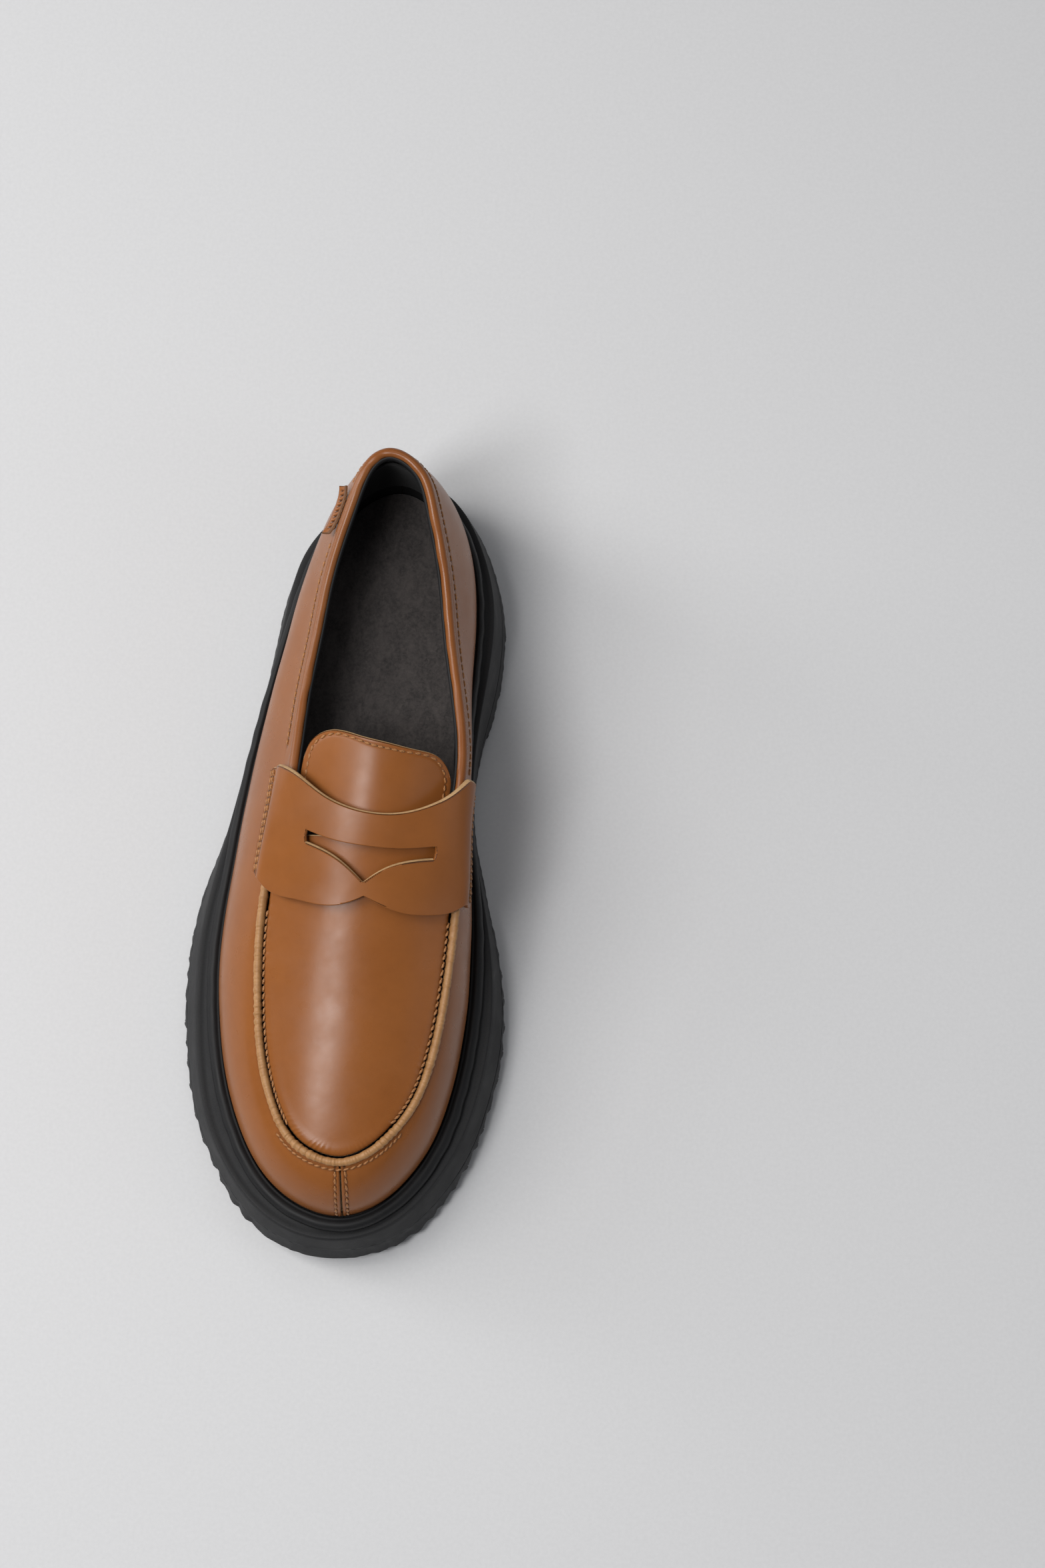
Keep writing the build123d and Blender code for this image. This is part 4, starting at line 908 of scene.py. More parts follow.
def outsole_half(us, middle):
    """One half of the outsole from its hidden top round the side to the tread's middle."""
    edge = sole_point(us, 0.0)
    y = edge[:, 1]
    base, top = sole_base(y), parting(y) - 0.03
    _, open_ = edge_pattern(us, y)
    rows = []
    for share in (0.0, 0.5):
        inner = middle + (sole_point(us, top) - middle) * share
        inner[:, 2] = parting(inner[:, 1]) - 0.03
        rows.append(inner)
    lip = base + LUG_DEPTH * open_
    for share in (1.0, 0.985, 0.93, 0.85, 0.75, 0.65, 0.55, 0.46, 0.38, 0.3, 0.22, 0.15, 0.09, 0.04):
        rows.append(side_row(us, lip + (top - lip) * share, base))
    out = outward(sole_edge, us)
    foot = side_row(us, lip, base)
    rows.append(foot - out * 0.12 + UP * 0.12)
    rows.append(foot - out * 0.45)
    length = np.linalg.norm((middle - foot)[:, :2], axis=1)
    near = np.array([1.0, 2.0, 3.5, 5.0, 6.5, 8.0, 9.5, 11.0, 12.2, 12.8, 13.4, 14.6])
    for run in shares(near, length, 16).T:
        under = foot + (middle - foot) * (run / length)[:, None]
        under[:, 2] = sole_base(under[:, 1])
        under[:, 2] += tread_depth(under[:, 0], under[:, 1], run, open_)
        rows.append(under)
    return np.stack(rows, axis=1)


outsole = two_halves(sole_halves, sole_middle, outsole_half)
closed_piece("outsole_lugged", outsole, outsole_look, "outsole_rubber", "outsole")


def ledge(point, level=0.0):
    """The same plan place on top of the midsole."""
    return on_board(point, MIDSOLE_TOP + level)


# distances in from the midsole's edge, with the depth of the shallow hollow before its lip
LEDGE_HOLLOW = (
    (7.5, 0.0), (5.0, 0.02), (3.4, 0.25), (2.6, 0.3), (1.9, 0.1), (1.3, 0.0), (0.7, 0.0),
)


def midsole_half(us, middle):
    """One half of the midsole: flat ledge, rounded lip, flared side and hidden underside."""
    y = sole_point(us, 26.0)[:, 1]
    top, low = board_top(y) + MIDSOLE_TOP, parting(y) + 0.03
    out = outward(sole_edge, us)
    rows = []
    crown = sole_point(us, top)
    for share in (0.0, 0.3, 0.6):
        rows.append(ledge(middle + (crown - middle) * share))
    for inset, sink in LEDGE_HOLLOW:
        rows.append(ledge(crown - out * inset, -sink))
    for turn in (20, 45, 70, 90):
        a = math.radians(turn)
        rows.append(ledge(crown - out * 0.55 * (1 - math.sin(a)), -0.55 * (1 - math.cos(a))))
    for share in (0.93, 0.8, 0.66, 0.52, 0.38, 0.24, 0.12, 0.05, 0.02, 0.0):
        place = sole_point(us, low + (top - low) * share)
        inward, _ = edge_pattern(us, place[:, 1])
        base = sole_base(y)
        keep = inward * (1 - ramp(place[:, 2] - base, 4.0, 9.5))
        line = 0.35 * (1 - ramp(share, 0.0, 0.05))
        rows.append(place - out * (keep + line)[:, None])
    last = rows[-1]
    for share in (0.6, 0.0):
        under = middle + (last - middle) * share
        under[:, 2] = parting(under[:, 1]) + 0.03
        rows.append(under)
    return np.stack(rows, axis=1)


midsole = two_halves(sole_halves, sole_middle, midsole_half)
closed_piece("midsole_flared", midsole, midsole_look, "midsole_foam", "midsole")

# welt: a rounded rubber bead with a fine inner lip, butted at the medial waist
WELT_SECTION = (
    (1.0, 0.1), (1.0, 1.5), (0.99, 2.5), (0.95, 3.3), (0.88, 3.95), (0.78, 4.5), (0.67, 4.88),
    (0.56, 5.05), (0.44, 5.0), (0.34, 4.75), (0.26, 4.45), (0.2, 4.3), (0.13, 4.42),
    (0.07, 4.3), (0.04, 3.9), (0.04, 0.1),
)
joint = u_at(35.0, False)
us = np.linspace(joint + 0.15, joint + AROUND - 0.15, 640)
foot, out = foot_point(us), outward(foot_line, us)
width = welt_width(us) + 0.12 * wavy(9, 9, 0.01, 0.12)(us)
rows = [ledge(foot + out * (0.35 + side * width)[:, None], up) for side, up in WELT_SECTION]
closed_piece("welt_bead", tube(np.stack(rows, axis=1)), welt_look, "welt_rubber", "welt")

# ---------------------------------------------------------------- footbed
foot_halves = matched(foot_line, 0.0, HEEL_U, AROUND, np.arange(-100.0, 105.1, 2.2), 36, 30)


def foot_inset(u, inset):
    """Foot line moved inwards."""
    return foot_point(u) - outward(foot_line, u) * inset


foot_edges = [foot_inset(half, 4.4) for half in foot_halves]
foot_middle = spine_between(*foot_edges, -92.0, 98.0)


def contour(x, y):
    """Shape pressed into the footbed: heel cup, raised inner arch and hollow for the ball."""
    cup = -0.7 * bump(y, 105.0, 26.0) * bump(x, 4.0, 16.0)
    arch = 0.9 * bump(y, 25.0, 28.0) * ramp(x, 8.0, 30.0)
    ball = -0.5 * bump(y, -62.0, 30.0) * bump(x, 2.0, 24.0)
    return cup + arch + ball


def cushion_half(inset, low, high):
    """Half of a flat cushion with rounded sides between two levels above the board."""

    def make(us, middle):
        out, thick = outward(foot_line, us), high - low
        rows = []
        for share in (0.0, 0.4, 0.8):
            rows.append(on_board(middle + (foot_inset(us, inset + 1.5) - middle) * share, low))
        for turn in np.linspace(-80, 80, 9):
            a = math.radians(turn)
            side = foot_inset(us, inset) - out * 0.45 * thick * (1 - math.cos(a))
            rows.append((side, low + thick * (0.5 + 0.5 * math.sin(a))))
        start = foot_inset(us, inset + 0.45 * thick + 0.3)
        length = np.linalg.norm((middle - start)[:, :2], axis=1)
        near = np.array([0.6, 1.6, 3.2, 5.5])
        for run in shares(near, length, 12).T:
            rows.append((start + (middle - start) * (run / length)[:, None], high))
        made = []
        for row in rows:
            if isinstance(row, tuple):
                place, level = row
                raised = contour(place[:, 0], place[:, 1]) * (level - low) / thick
                made.append(on_board(place, level + raised))
            else:
                made.append(row)
        return np.stack(made, axis=1)

    return make


cushion = two_halves(foot_halves, foot_middle, cushion_half(4.0, 0.0, FOAM))
pad = closed_piece("footbed_pad", cushion, foam_look, "footbed_foam", "footbed_foam")
cover_half = cushion_half(3.2, COVER_LOW, COVER_LOW + SUEDE)
cover = two_halves(foot_halves, foot_middle, cover_half)
closed_piece("footbed_sock", cover, footbed_look, "footbed_suede", "footbed_cover")

# ---------------------------------------------------------------- upper
CORNER = FOOT_LEVEL - MARGIN_LOW
TOPLINE_ROW = 6.0
TOE_ROW = 2.0
pucker = wavy(3, 9, 0.18, 0.42)
soft_wave = wavy(7, 6, 0.01, 0.04)


def collar_band(u):
    """1 along the collar and 0 in front of it."""
    return ramp(top_line(u)[..., 1], 24.0, 34.0)


def u_from_toe(u):
    """Distance from the toe seam along the foot line."""
    return np.minimum(u % AROUND, AROUND - u % AROUND)


def hole_wave(run):
    """1 at each stitch hole along a row and 0 halfway between two of them."""
    return 0.5 + 0.5 * np.cos(2 * math.pi * run / STITCH_PITCH)


def wall_relief(u, v):
    """How far the wall's leather stands out or in: the collar's row, the toe seam and puckers."""
    deep = below_top(u, v)
    collar = collar_band(u)
    relief = -collar * bump(deep, TOPLINE_ROW, 0.75) * (0.16 + 0.22 * hole_wave(u) ** 3)
    relief = relief + 0.3 * collar * bump(deep, 3.6, 1.7)
    from_seam = u_from_toe(u)
    toe = ramp(from_seam, 9.0, 3.0) * ramp(v, 0.02, 0.12)
    hole = hole_wave(v * TOE_HEIGHT)
    relief = relief - toe * bump(from_seam, 0.0, 0.32) * 0.55
    relief = relief + toe * bump(from_seam, 1.0, 0.55) * 0.25
    relief = relief - toe * bump(from_seam, TOE_ROW, 0.5) * (0.14 + 0.2 * hole**3)
    near_piping = (1 - ramp(from_seam, 60.0, 110.0)) * bump(deep, 3.0, 1.1)
    relief = relief - near_piping * (0.1 + 0.035 * pucker(u))
    relief = relief - bump(np.abs(u - HEEL_U), 0.0, 0.35) * 0.5
    return relief + 0.05 * soft_wave(u) * ramp(deep, 3.0, 14.0)


def wall_shade(u, v):
    """Painted shade: darker in the stitch holes and channels, in the toe and back seam grooves, under
    the top line's edge and the piping, and against the welt.
    """
    deep = below_top(u, v)
    shade = collar_band(u) * bump(deep, TOPLINE_ROW, 0.62) * (0.25 + 0.75 * hole_wave(u) ** 4)
    from_seam = u_from_toe(u)
    toe = ramp(v, 0.02, 0.1)
    shade = shade + toe * bump(from_seam, 0.0, 0.3) * 0.85
    hole = hole_wave(v * TOE_HEIGHT) ** 4
    shade = shade + toe * bump(from_seam, TOE_ROW, 0.55) * (0.3 + 0.7 * hole)
    # painted shade low on the wall, against the welt
    shade = shade + 0.6 * (1 - ramp(v, 0.05, 0.16))
    toe_row = 1 - ramp(from_seam, BARE_TOE - 1.0, BARE_TOE + 2.0)
    shade = shade + 0.45 * toe_row * bump(deep, 2.7, 0.6) + 0.3 * bump(deep, 1.0, 0.8)
    return np.clip(shade + 0.8 * bump(np.abs(u - HEEL_U), 0.0, 0.3), 0.0, 1.0)


RIM_SHARES = (0.0, 0.06, 0.14, 0.25, 0.36, 0.48, 0.6, 0.74, 0.88, 1.0)


def quarter(us):
    """Outer surface of one side: turned-in margin, corner and wall."""
    foot, out = foot_point(us), outward(foot_line, us)
    rows = []
    for inward in np.linspace(MARGIN_WIDTH, CORNER + 0.4, 6):
        rows.append(on_board(foot - out * inward, MARGIN_LOW))
    for turn in np.radians(np.linspace(90, 15, 7)):
        inner = foot + out * CORNER * (math.cos(turn) - 1)
        rows.append(on_board(inner, FOOT_LEVEL - CORNER * math.sin(turn)))
    # The margin and corner rows get full painted shade, where they tuck in under the welt.
    shades = [np.ones(len(us))] * len(rows)
    reach = rim(us, 0.9)
    row_v = rim(us, TOPLINE_ROW)
    vs = [share * (row_v - 0.035) for share in np.linspace(0.0, 1.0, 44)]
    vs += [row_v - 0.02, row_v - 0.008]
    vs += [row_v + (reach - row_v) * share for share in RIM_SHARES]
    for v in vs:
        rows.append(wall_point(us, v) + wall_normal(us, v) * wall_relief(us, v)[:, None])
        shades.append(wall_shade(us, v))
    return np.stack(rows, axis=1), np.stack(shades, axis=1)


def around_places(start, end, step):
    """Places from start to end, closer together near the toe seam."""
    count = int(abs(end - start) / step)
    even = np.linspace(start, end, count)
    steps = np.concatenate((np.arange(0.0, 4.6, 0.22), np.arange(4.6, 12.0, 0.45)))
    fine = start + np.sign(end - start) * steps
    if abs(start) > 1.0 and abs(start - AROUND) > 1.0:
        return even
    return np.concatenate((fine, even[np.abs(even - start) > 12.2]))


SEAM = 0.12
for name, node, us in (
    ("upper_lateral", "quarter_lateral", around_places(SEAM, HEEL_U - SEAM, 0.8)),
    ("upper_medial", "quarter_medial", around_places(AROUND - SEAM, HEEL_U + SEAM, 0.8)),
):
    grid, shade = quarter(us)
    sheet = grid.reshape(-1, 3), lattice(*grid.shape[:2], flip=node == "quarter_lateral")
    shade = shade.ravel()
    sheet_piece(name, sheet, LEATHER, (0.4, 0.2), upper_looks, "upper_leather", node, shade=shade)


def inner_layer(name, node, u0, u1, v0, v1, depth, thick, look, slot):
    """Lining or grip inside the wall, seen from within."""
    us = np.linspace(u0, u1, max(12, int(abs(u1 - u0) / 2.0)))
    share = np.linspace(0, 1, 34)
    low = v0(us) if callable(v0) else np.full(len(us), v0)
    high = v1(us) if callable(v1) else np.full(len(us), v1)
    vs = low[:, None] + (high - low)[:, None] * share
    around = np.broadcast_to(us[:, None], vs.shape)
    ripple = 0.12 * wavy(len(name), 7, 0.01, 0.08)(around) * np.sin(math.pi * share)
    grid = wall_point(around, vs) - wall_normal(around, vs) * (depth + ripple)[..., None]
    sheet = grid.reshape(-1, 3), lattice(*grid.shape[:2], flip=u1 < u0)
    sheet_piece(name, sheet, thick, (0.3, 0.15), look, slot, node)


u_strap = (u_at(4.0, True), u_at(4.0, False))
rim_of = line_below_rim(LINING_SHORT)
for name, node, u0, u1 in (
    ("lining_vamp", "vamp_lining", u_strap[1] - AROUND + SEAM, u_strap[0] - SEAM),
    ("lining_quarter_lateral", "quarter_lining_lateral", u_strap[0] + SEAM, HEEL_U - SEAM),
    ("lining_quarter_medial", "quarter_lining_medial", HEEL_U + SEAM, u_strap[1] - SEAM),
):
    inner_layer(name, node, u0, u1, 0.02, rim_of, WALL, LINING, lining_look, "lining_leather")
inner_layer(
    "heel_grip_suede", "heel_grip", HEEL_U - 42.0, HEEL_U + 42.0, 0.2, 0.86,
    WALL + 0.95, 0.7, grip_look, "suede_grip",
)


# ---------------------------------------------------------------- piping and collar
def moulding(line, us, section, frame_of):
    """Rings of points along a line: section gives side and up, frame_of the two directions."""
    origin, (side_way, up_way) = line(us), frame_of(us)
    rows = [origin + side_way * a[:, None] + up_way * b[:, None] for a, b in section(us)]
    return np.stack(rows, axis=1)


def level_frame(us):
    return outward(top_line, us), np.broadcast_to(UP, (len(us), 3))


def piping_frame(us):
    normal = wall_normal(us, np.ones(len(us)))
    side = unit(wall_point(us, np.full(len(us), 0.985)) - wall_point(us, np.ones(len(us))))
    return side, normal


PIPING = (
    (1.55, -1.0), (1.62, -0.35), (1.5, 0.35), (1.15, 0.95), (0.6, 1.32), (0.0, 1.42),
    (-0.6, 1.3), (-1.05, 0.95), (-1.32, 0.35), (-1.38, -0.4), (-1.3, -1.2), (0.0, -1.3),
)
piping_width, piping_ridge = wavy(13, 11, 0.02, 0.35), wavy(14, 13, 0.15, 0.9)


def piping_section(us):
    """Section of the piping with fine ribs and a slightly uneven width."""
    swell = 1 + 0.075 * piping_width(us)
    rib = 0.08 * piping_ridge(us)
    return [(side * swell, up * swell + rib * (up > 0)) for side, up in PIPING]


lateral_end, medial_end = u_at(PIPING_END_Y, True), u_at(PIPING_END_Y, False) - AROUND
us = np.linspace(medial_end, lateral_end, int((lateral_end - medial_end) / 0.4))
piping = tube(moulding(top_line, us, piping_section, piping_frame))
closed_piece("apron_piping_leather", piping, piping_look, "raw_edge_leather", "apron_piping")

BEAD = (
    (0.45, -1.15), (0.55, -0.6), (0.5, 0.0), (0.25, 0.65), (-0.2, 1.2), (-0.8, 1.58), (-1.5, 1.75),
    (-2.2, 1.6), (-2.75, 1.2), (-3.05, 0.65), (-3.1, 0.2), (-3.1, -0.5), (-3.0, -1.2), (-1.4, -1.25),
)
bead_swell = wavy(17, 9, 0.01, 0.12)


def bead_section(us):
    """Section of the rolled collar with two fine ridges on its inner side."""
    rows = []
    for side, up in BEAD:
        ridge = 0.15 * (bump(side, -0.9, 0.25) + bump(side, -1.9, 0.25)) if up > 0 else 0.0
        grow = 1 + 0.035 * bead_swell(us)
        rows.append((side * grow, up * grow + ridge))
    return rows


lateral_end, medial_end = u_at(COLLAR_END_Y, True), u_at(COLLAR_END_Y, False)
us = np.linspace(lateral_end, medial_end, int((medial_end - lateral_end) / 0.8))
bead = tube(moulding(top_line, us, bead_section, level_frame))
closed_piece("collar_bead", bead, binding_look, "binding_leather", "collar_binding")

EDGE = (
    (-3.12, 0.5), (-3.35, 0.6), (-3.68, 0.45), (-3.9, 0.1), (-4.05, -0.6), (-4.1, -1.7),
    (-3.14, -1.7),
)


def edge_section(us):
    """Section of the lining's turned edge inside the collar, the same all along."""
    return [(side + 0 * us, up + 0 * us) for side, up in EDGE]


edge = tube(moulding(top_line, us, edge_section, level_frame))
closed_piece("collar_lining_edge", edge, edge_look, "lining_leather", "collar_binding")

# ---------------------------------------------------------------- apron
APRON_INSET = 1.8
apron_ys = np.arange(-104.0, APRON_REAR_Y + 0.1, 0.75)
apron_halves = matched(top_line, 0.0, HEEL_U, AROUND, apron_ys, 64)


def apron_edge(u, inset):
    """Plan place inside the top line, set on the apron's surface."""
    plan = top_line(u) - outward(top_line, u) * inset
    plan[:, 2] = apron_height(plan[:, 0], plan[:, 1])
    return plan


apron_edges = [apron_edge(half, APRON_INSET) for half in apron_halves]
apron_middle = spine_between(*apron_edges, -96.0, 200.0)
apron_pucker = wavy(21, 9, 0.2, 0.42)
APRON_NEAR = np.array((0.0, 0.2, 0.45, 0.75, 1.1, 1.5, 2.0, 2.6, 3.4, 4.4, 5.6))


def apron_half(us, middle):
    """Half of the apron: its edge dips under the piping, with small puckers at the stitches."""
    edge = apron_edge(us, APRON_INSET)
    length = np.linalg.norm((middle - edge)[:, :2], axis=1)
    rows = []
    for run in shares(APRON_NEAR, length, 14).T:
        plan = edge + (middle - edge) * (run / length)[:, None]
        pucker_here = 0.1 * apron_pucker(us) * ramp(u_from_toe(us), 1.0, 9.0)
        relief = -0.8 * bump(run, 0.0, 0.8) - pucker_here * bump(run, 0.8, 1.6)
        relief = relief + 0.12 * bump(run, 2.6, 1.4)
        place, _ = on_height(apron_height, plan[:, 0], plan[:, 1], -relief)
        rows.append(place)
    return np.stack(rows, axis=1)


points, quads = two_halves(apron_halves, apron_middle, apron_half, (True, False))
normal = normals_of(points, quads)
if normal[:, 2].mean() < 0:
    quads = quads[:, ::-1]
# Painted shade along the apron's rear edge, where it tucks under the strap.
shade = 0.55 * ramp(-np.abs(points[:, 1] - APRON_REAR_Y), -1.0, 0.0)
sheet_piece(
    "apron_plug", (points, quads), LEATHER, (0.35, 0.2), upper_looks, "upper_leather", "apron",
    shade=shade,
)

# ---------------------------------------------------------------- strap
def wall_at_y(y, v, lateral):
    """Wall point and normal at a given y and v."""
    u = u_at(y, lateral)
    for _ in range(4):
        u += (y - float(wall_point(u, v)[1])) * (1 if lateral else -1)
    return wall_point(u, v), wall_normal(u, v)


def strap_section(y):
    """Outer surface of the strap across the shoe at one y, from its lateral end."""
    points = []
    lift = STRAP_LIFT + STRAP
    for lateral in (True, False):
        side = []
        low, change = STRAP_END_LATERAL if lateral else STRAP_END_MEDIAL
        low += change * y
        for share, more in ((0.0, 0.0), (0.24, 0.0), (0.48, 0.4), (0.74, 1.6)):
            place, normal = wall_at_y(y, low + share * (1 - low), lateral)
            side.append(place + normal * (lift + more))
        top = top_line(u_at(y, lateral))
        out = -1.0 if lateral else 1.0
        side.append(np.array((top[0] + 0.6 * out, y, apron_height(top[0], y) + lift + 2.9)))
        middle_x = ridge_x(y) + 0.5 * (top[0] - ridge_x(y))
        side.append(np.array((middle_x, y, apron_height(middle_x, y) + STRAP + STRAP_CROWN_LIFT)))
        points.append(side)
    centre = float(ridge_x(y))
    crown = np.array((centre, y, float(apron_height(centre, y)) + STRAP + STRAP_CROWN_LIFT))
    line = [*points[0], crown, *points[1][::-1]]
    along = distances(line)
    return smooth(along, line), float(along[-1])


STRAP_SPAN = (-35.0, 27.0)
SECTION_YS = np.linspace(*STRAP_SPAN, 14)
FINE = np.linspace(0, 1, 500)
coarse = np.array([at(FINE * length) for at, length in map(strap_section, SECTION_YS)])
STRAP_YS = np.linspace(*STRAP_SPAN, 125)
fine_sheet = smooth(SECTION_YS, coarse.reshape(len(SECTION_YS), -1))(STRAP_YS)
fine_sheet = fine_sheet.reshape(len(STRAP_YS), len(FINE), 3)
PINS_X = (-15.45, 7.1, 31.9)


def column_points(column):
    """The strap's line along y at a column, where 1, 2 and 3 run at the pinned values of x."""
    line = []
    for row in fine_sheet:
        pins = [0.0, *np.interp(PINS_X, row[:, 0], FINE), 1.0]
        share = np.interp(column, range(5), pins)
        line.append([np.interp(share, FINE, row[:, k]) for k in range(3)])
    return np.array(line)


def plan_curve(table):
    """y as a smooth function of x through a table, held level past its ends."""
    curve = smooth([row[0] for row in table], [row[1] for row in table])
    low, high = table[0][0], table[-1][0]
    return lambda x: float(curve(min(max(x, low), high)))


strap_rear = plan_curve(STRAP_REAR)
front_lateral, front_medial = plan_curve(STRAP_FRONT_LATERAL), plan_curve(STRAP_FRONT_MEDIAL)
slot_top = plan_curve(SLOT_TOP)
slot_low_lateral, slot_low_medial = plan_curve(SLOT_LOW_LATERAL), plan_curve(SLOT_LOW_MEDIAL)


def strap_front(x):
    return front_lateral(x) if x < STRAP_MIDDLE_X else front_medial(x)


def slot_low(x):
    return slot_low_lateral(x) if x < SLOT_MIDDLE_X else slot_low_medial(x)


def where(line, border):
    """y at which a column crosses a plan curve."""
    y = 0.0
    for _ in range(6):
        y = border(np.interp(y, STRAP_YS, line[:, 0]))
    return y


UPPER_ROWS = np.array((0.0, 0.03, 0.07, 0.13, 0.2, 0.3, 0.4, 0.5, 0.6, 0.7, 0.8, 0.87, 0.93, 0.97, 1.0))
LOWER_ROWS = np.array(
    (0.0, 0.02, 0.05, 0.1, 0.17, 0.25, 0.34, 0.44, 0.54, 0.64, 0.73, 0.81, 0.88, 0.94, 0.98, 1.0)
)
strap_columns = np.unique(
    np.concatenate(
        (np.linspace(0, 0.16, 24), np.linspace(0.18, 1, 26), np.linspace(1, 3, 90), (0.985, 3.015),
         np.linspace(3, 3.78, 28), np.linspace(3.8, 4, 24))
    )
)
strap_bend = wavy(31, 7, 0.02, 0.08)
bands = [[], []]
for column in strap_columns:
    line = column_points(column)
    front, rear = where(line, strap_front), where(line, strap_rear)
    open_here = 0.999 < column < 3.001
    if open_here:
        low, high = where(line, slot_low), where(line, slot_top)
    else:
        past = max(1 - column, column - 3, 0.0)
        low = high = -5.9 if column < 2 else -7.7
        low = high = low + (0.5 * (front + rear) - low) * ramp(past, 0.0, 0.8)
    corner = 1.6 * (bump(column, 0.0, 0.05) + bump(column, 4.0, 0.05))
    front, rear = front + corner, rear - corner
    for band, start, end, rows in ((0, high, rear, UPPER_ROWS), (1, front, low, LOWER_ROWS)):
        ys = start + (end - start) * rows
        line_at = [np.interp(ys, STRAP_YS, line[:, k]) for k in range(3)]
        bands[band].append(np.stack(line_at, axis=1))
points, quads, start = [], [], 0
for band in bands:
    grid = np.array(band)
    quads.append(lattice(*grid.shape[:2], start))
    points.append(grid.reshape(-1, 3))
    start += len(points[-1])
points, quads = welded(np.vstack(points), np.vstack(quads))
points[:, 2] += 0.07 * strap_bend(points[:, 0]) * strap_bend(points[:, 1] + 40)
STRAP_ROWS = (1.7, 3.3)


def seam_depth(points):
    """Nearness of points to the two rows of stitches at each end of the strap."""
    ends = [
        [np.interp(y, STRAP_YS, fine_sheet[:, k, axis]) for axis in (0, 2)]
        for y in points[:, 1]
        for k in (0, -1)
    ]
    ends = np.array(ends).reshape(len(points), 2, 2)
    away = np.linalg.norm(points[:, None, ::2] - ends, axis=2).min(axis=1)
    inside = ramp(points[:, 1], -21.0, -19.5) * ramp(-points[:, 1], -20.5, -19.0)
    return np.maximum(bump(away, STRAP_ROWS[0], 0.6), bump(away, STRAP_ROWS[1], 0.6)) * inside


seams = seam_depth(points)
points = points - normals_of(points, quads) * (0.22 * seams)[:, None]


def light_edges(out):
    """The bevelled cut shows on edges that face the heel."""
    return 0.42 * ramp(out[:, 1], 0.2, 0.6)


# The stitch channels at the strap's ends carry painted shade as well as their sunk groove.
sheet_piece(
    "strap_saddle", (points, quads), STRAP, (0.28, 0.2), strap_looks, "upper_leather",
    "saddle_strap", bevel=light_edges, shade=0.8 * seams,
)

# ---------------------------------------------------------------- tongue
TONGUE_CENTRE = np.array((STRAP_MIDDLE_X, 16.0))
TONGUE_BASE = np.array((STRAP_MIDDLE_X, 1.0))
tongue_run = distances(TONGUE_REAR)
tongue_edge = smooth(tongue_run, TONGUE_REAR)


def tongue_sheet(depth, inset, relief):
    """Patch of the tongue from its free edge in towards the middle of its base."""
    places = np.linspace(0, tongue_run[-1], 170)
    edge = tongue_edge(places)
    arm = edge - TONGUE_CENTRE
    edge = TONGUE_CENTRE + arm * (1 - inset / np.linalg.norm(arm, axis=1, keepdims=True))
    edge[:, 1] = np.maximum(edge[:, 1], 1.0)
    length = np.linalg.norm(edge - TONGUE_BASE, axis=1)
    near = np.array((0.0, 0.3, 0.7, 1.1, 1.5, 1.9, 2.3, 2.7, 3.2, 4.0, 5.2))
    rows = []
    for run in shares(near, length, 12).T:
        plan = edge + (TONGUE_BASE - edge) * (run / length)[:, None]
        sunk = depth - relief * bump(run, 2.0, 0.5)
        rows.append(on_height(tongue_height, plan[:, 0], plan[:, 1], sunk)[0])
    grid = np.stack(rows, axis=1)
    points, quads = welded(grid.reshape(-1, 3), lattice(*grid.shape[:2]))
    return points, quads if normals_of(points, quads)[:, 2].mean() > 0 else quads[:, ::-1]


sheet_piece(
    "tongue_leather", tongue_sheet(0.0, 0.0, -0.25), LEATHER, (0.25, 0.2), strap_looks,
    "upper_leather", "tongue", "tongue", lambda out: 0.4 * ramp(out[:, 1], 0.2, 0.7),
)
sheet_piece(
    "tongue_lining_leather", tongue_sheet(LEATHER + 0.1, 0.5, 0.0), TONGUE_LINING, (0.2, 0.2),
    lining_look, "lining_leather", "tongue_lining", "tongue",
)

# ---------------------------------------------------------------- tab
us = np.linspace(u_at(TAB_Y[0], True), u_at(TAB_Y[1], True), 90)
lift = 1.45 + 1.3 * np.abs(np.linspace(-1, 1, len(us))) ** 3
rows, holes = [], []
for down in np.linspace(0, 1, 26):
    v = rim(us, 5.0 + TAB_WIDTH * down)
    run = np.abs(((us - us[0] + 1.1 * down) % TAB_SLOT_PITCH) - TAB_SLOT_PITCH / 2)
    margin = ramp(us - us[0], 1.0, 1.8) * ramp(us[-1] - us, 1.0, 1.8)
    # Each slot is pressed in and darkened with painted shade.
    hole = (1 - ramp(run, 0.3, 0.55)) * ramp(down, 0.16, 0.26) * ramp(-down, -0.8, -0.7) * margin
    away = lift + 1.5 * down * down - 0.6 * hole
    holes.append(hole)
    rows.append(wall_point(us, v) + wall_normal(us, np.full(len(us), 0.85)) * away[:, None])
grid = np.stack(rows, axis=1)
sheet_piece(
    "heel_tab_leather", (grid.reshape(-1, 3), lattice(*grid.shape[:2])), TAB_LEATHER,
    (0.3, 0.2), [strap_look, flesh_look], "upper_leather", "heel_tab",
    shade=np.stack(holes, axis=1).ravel(),
)


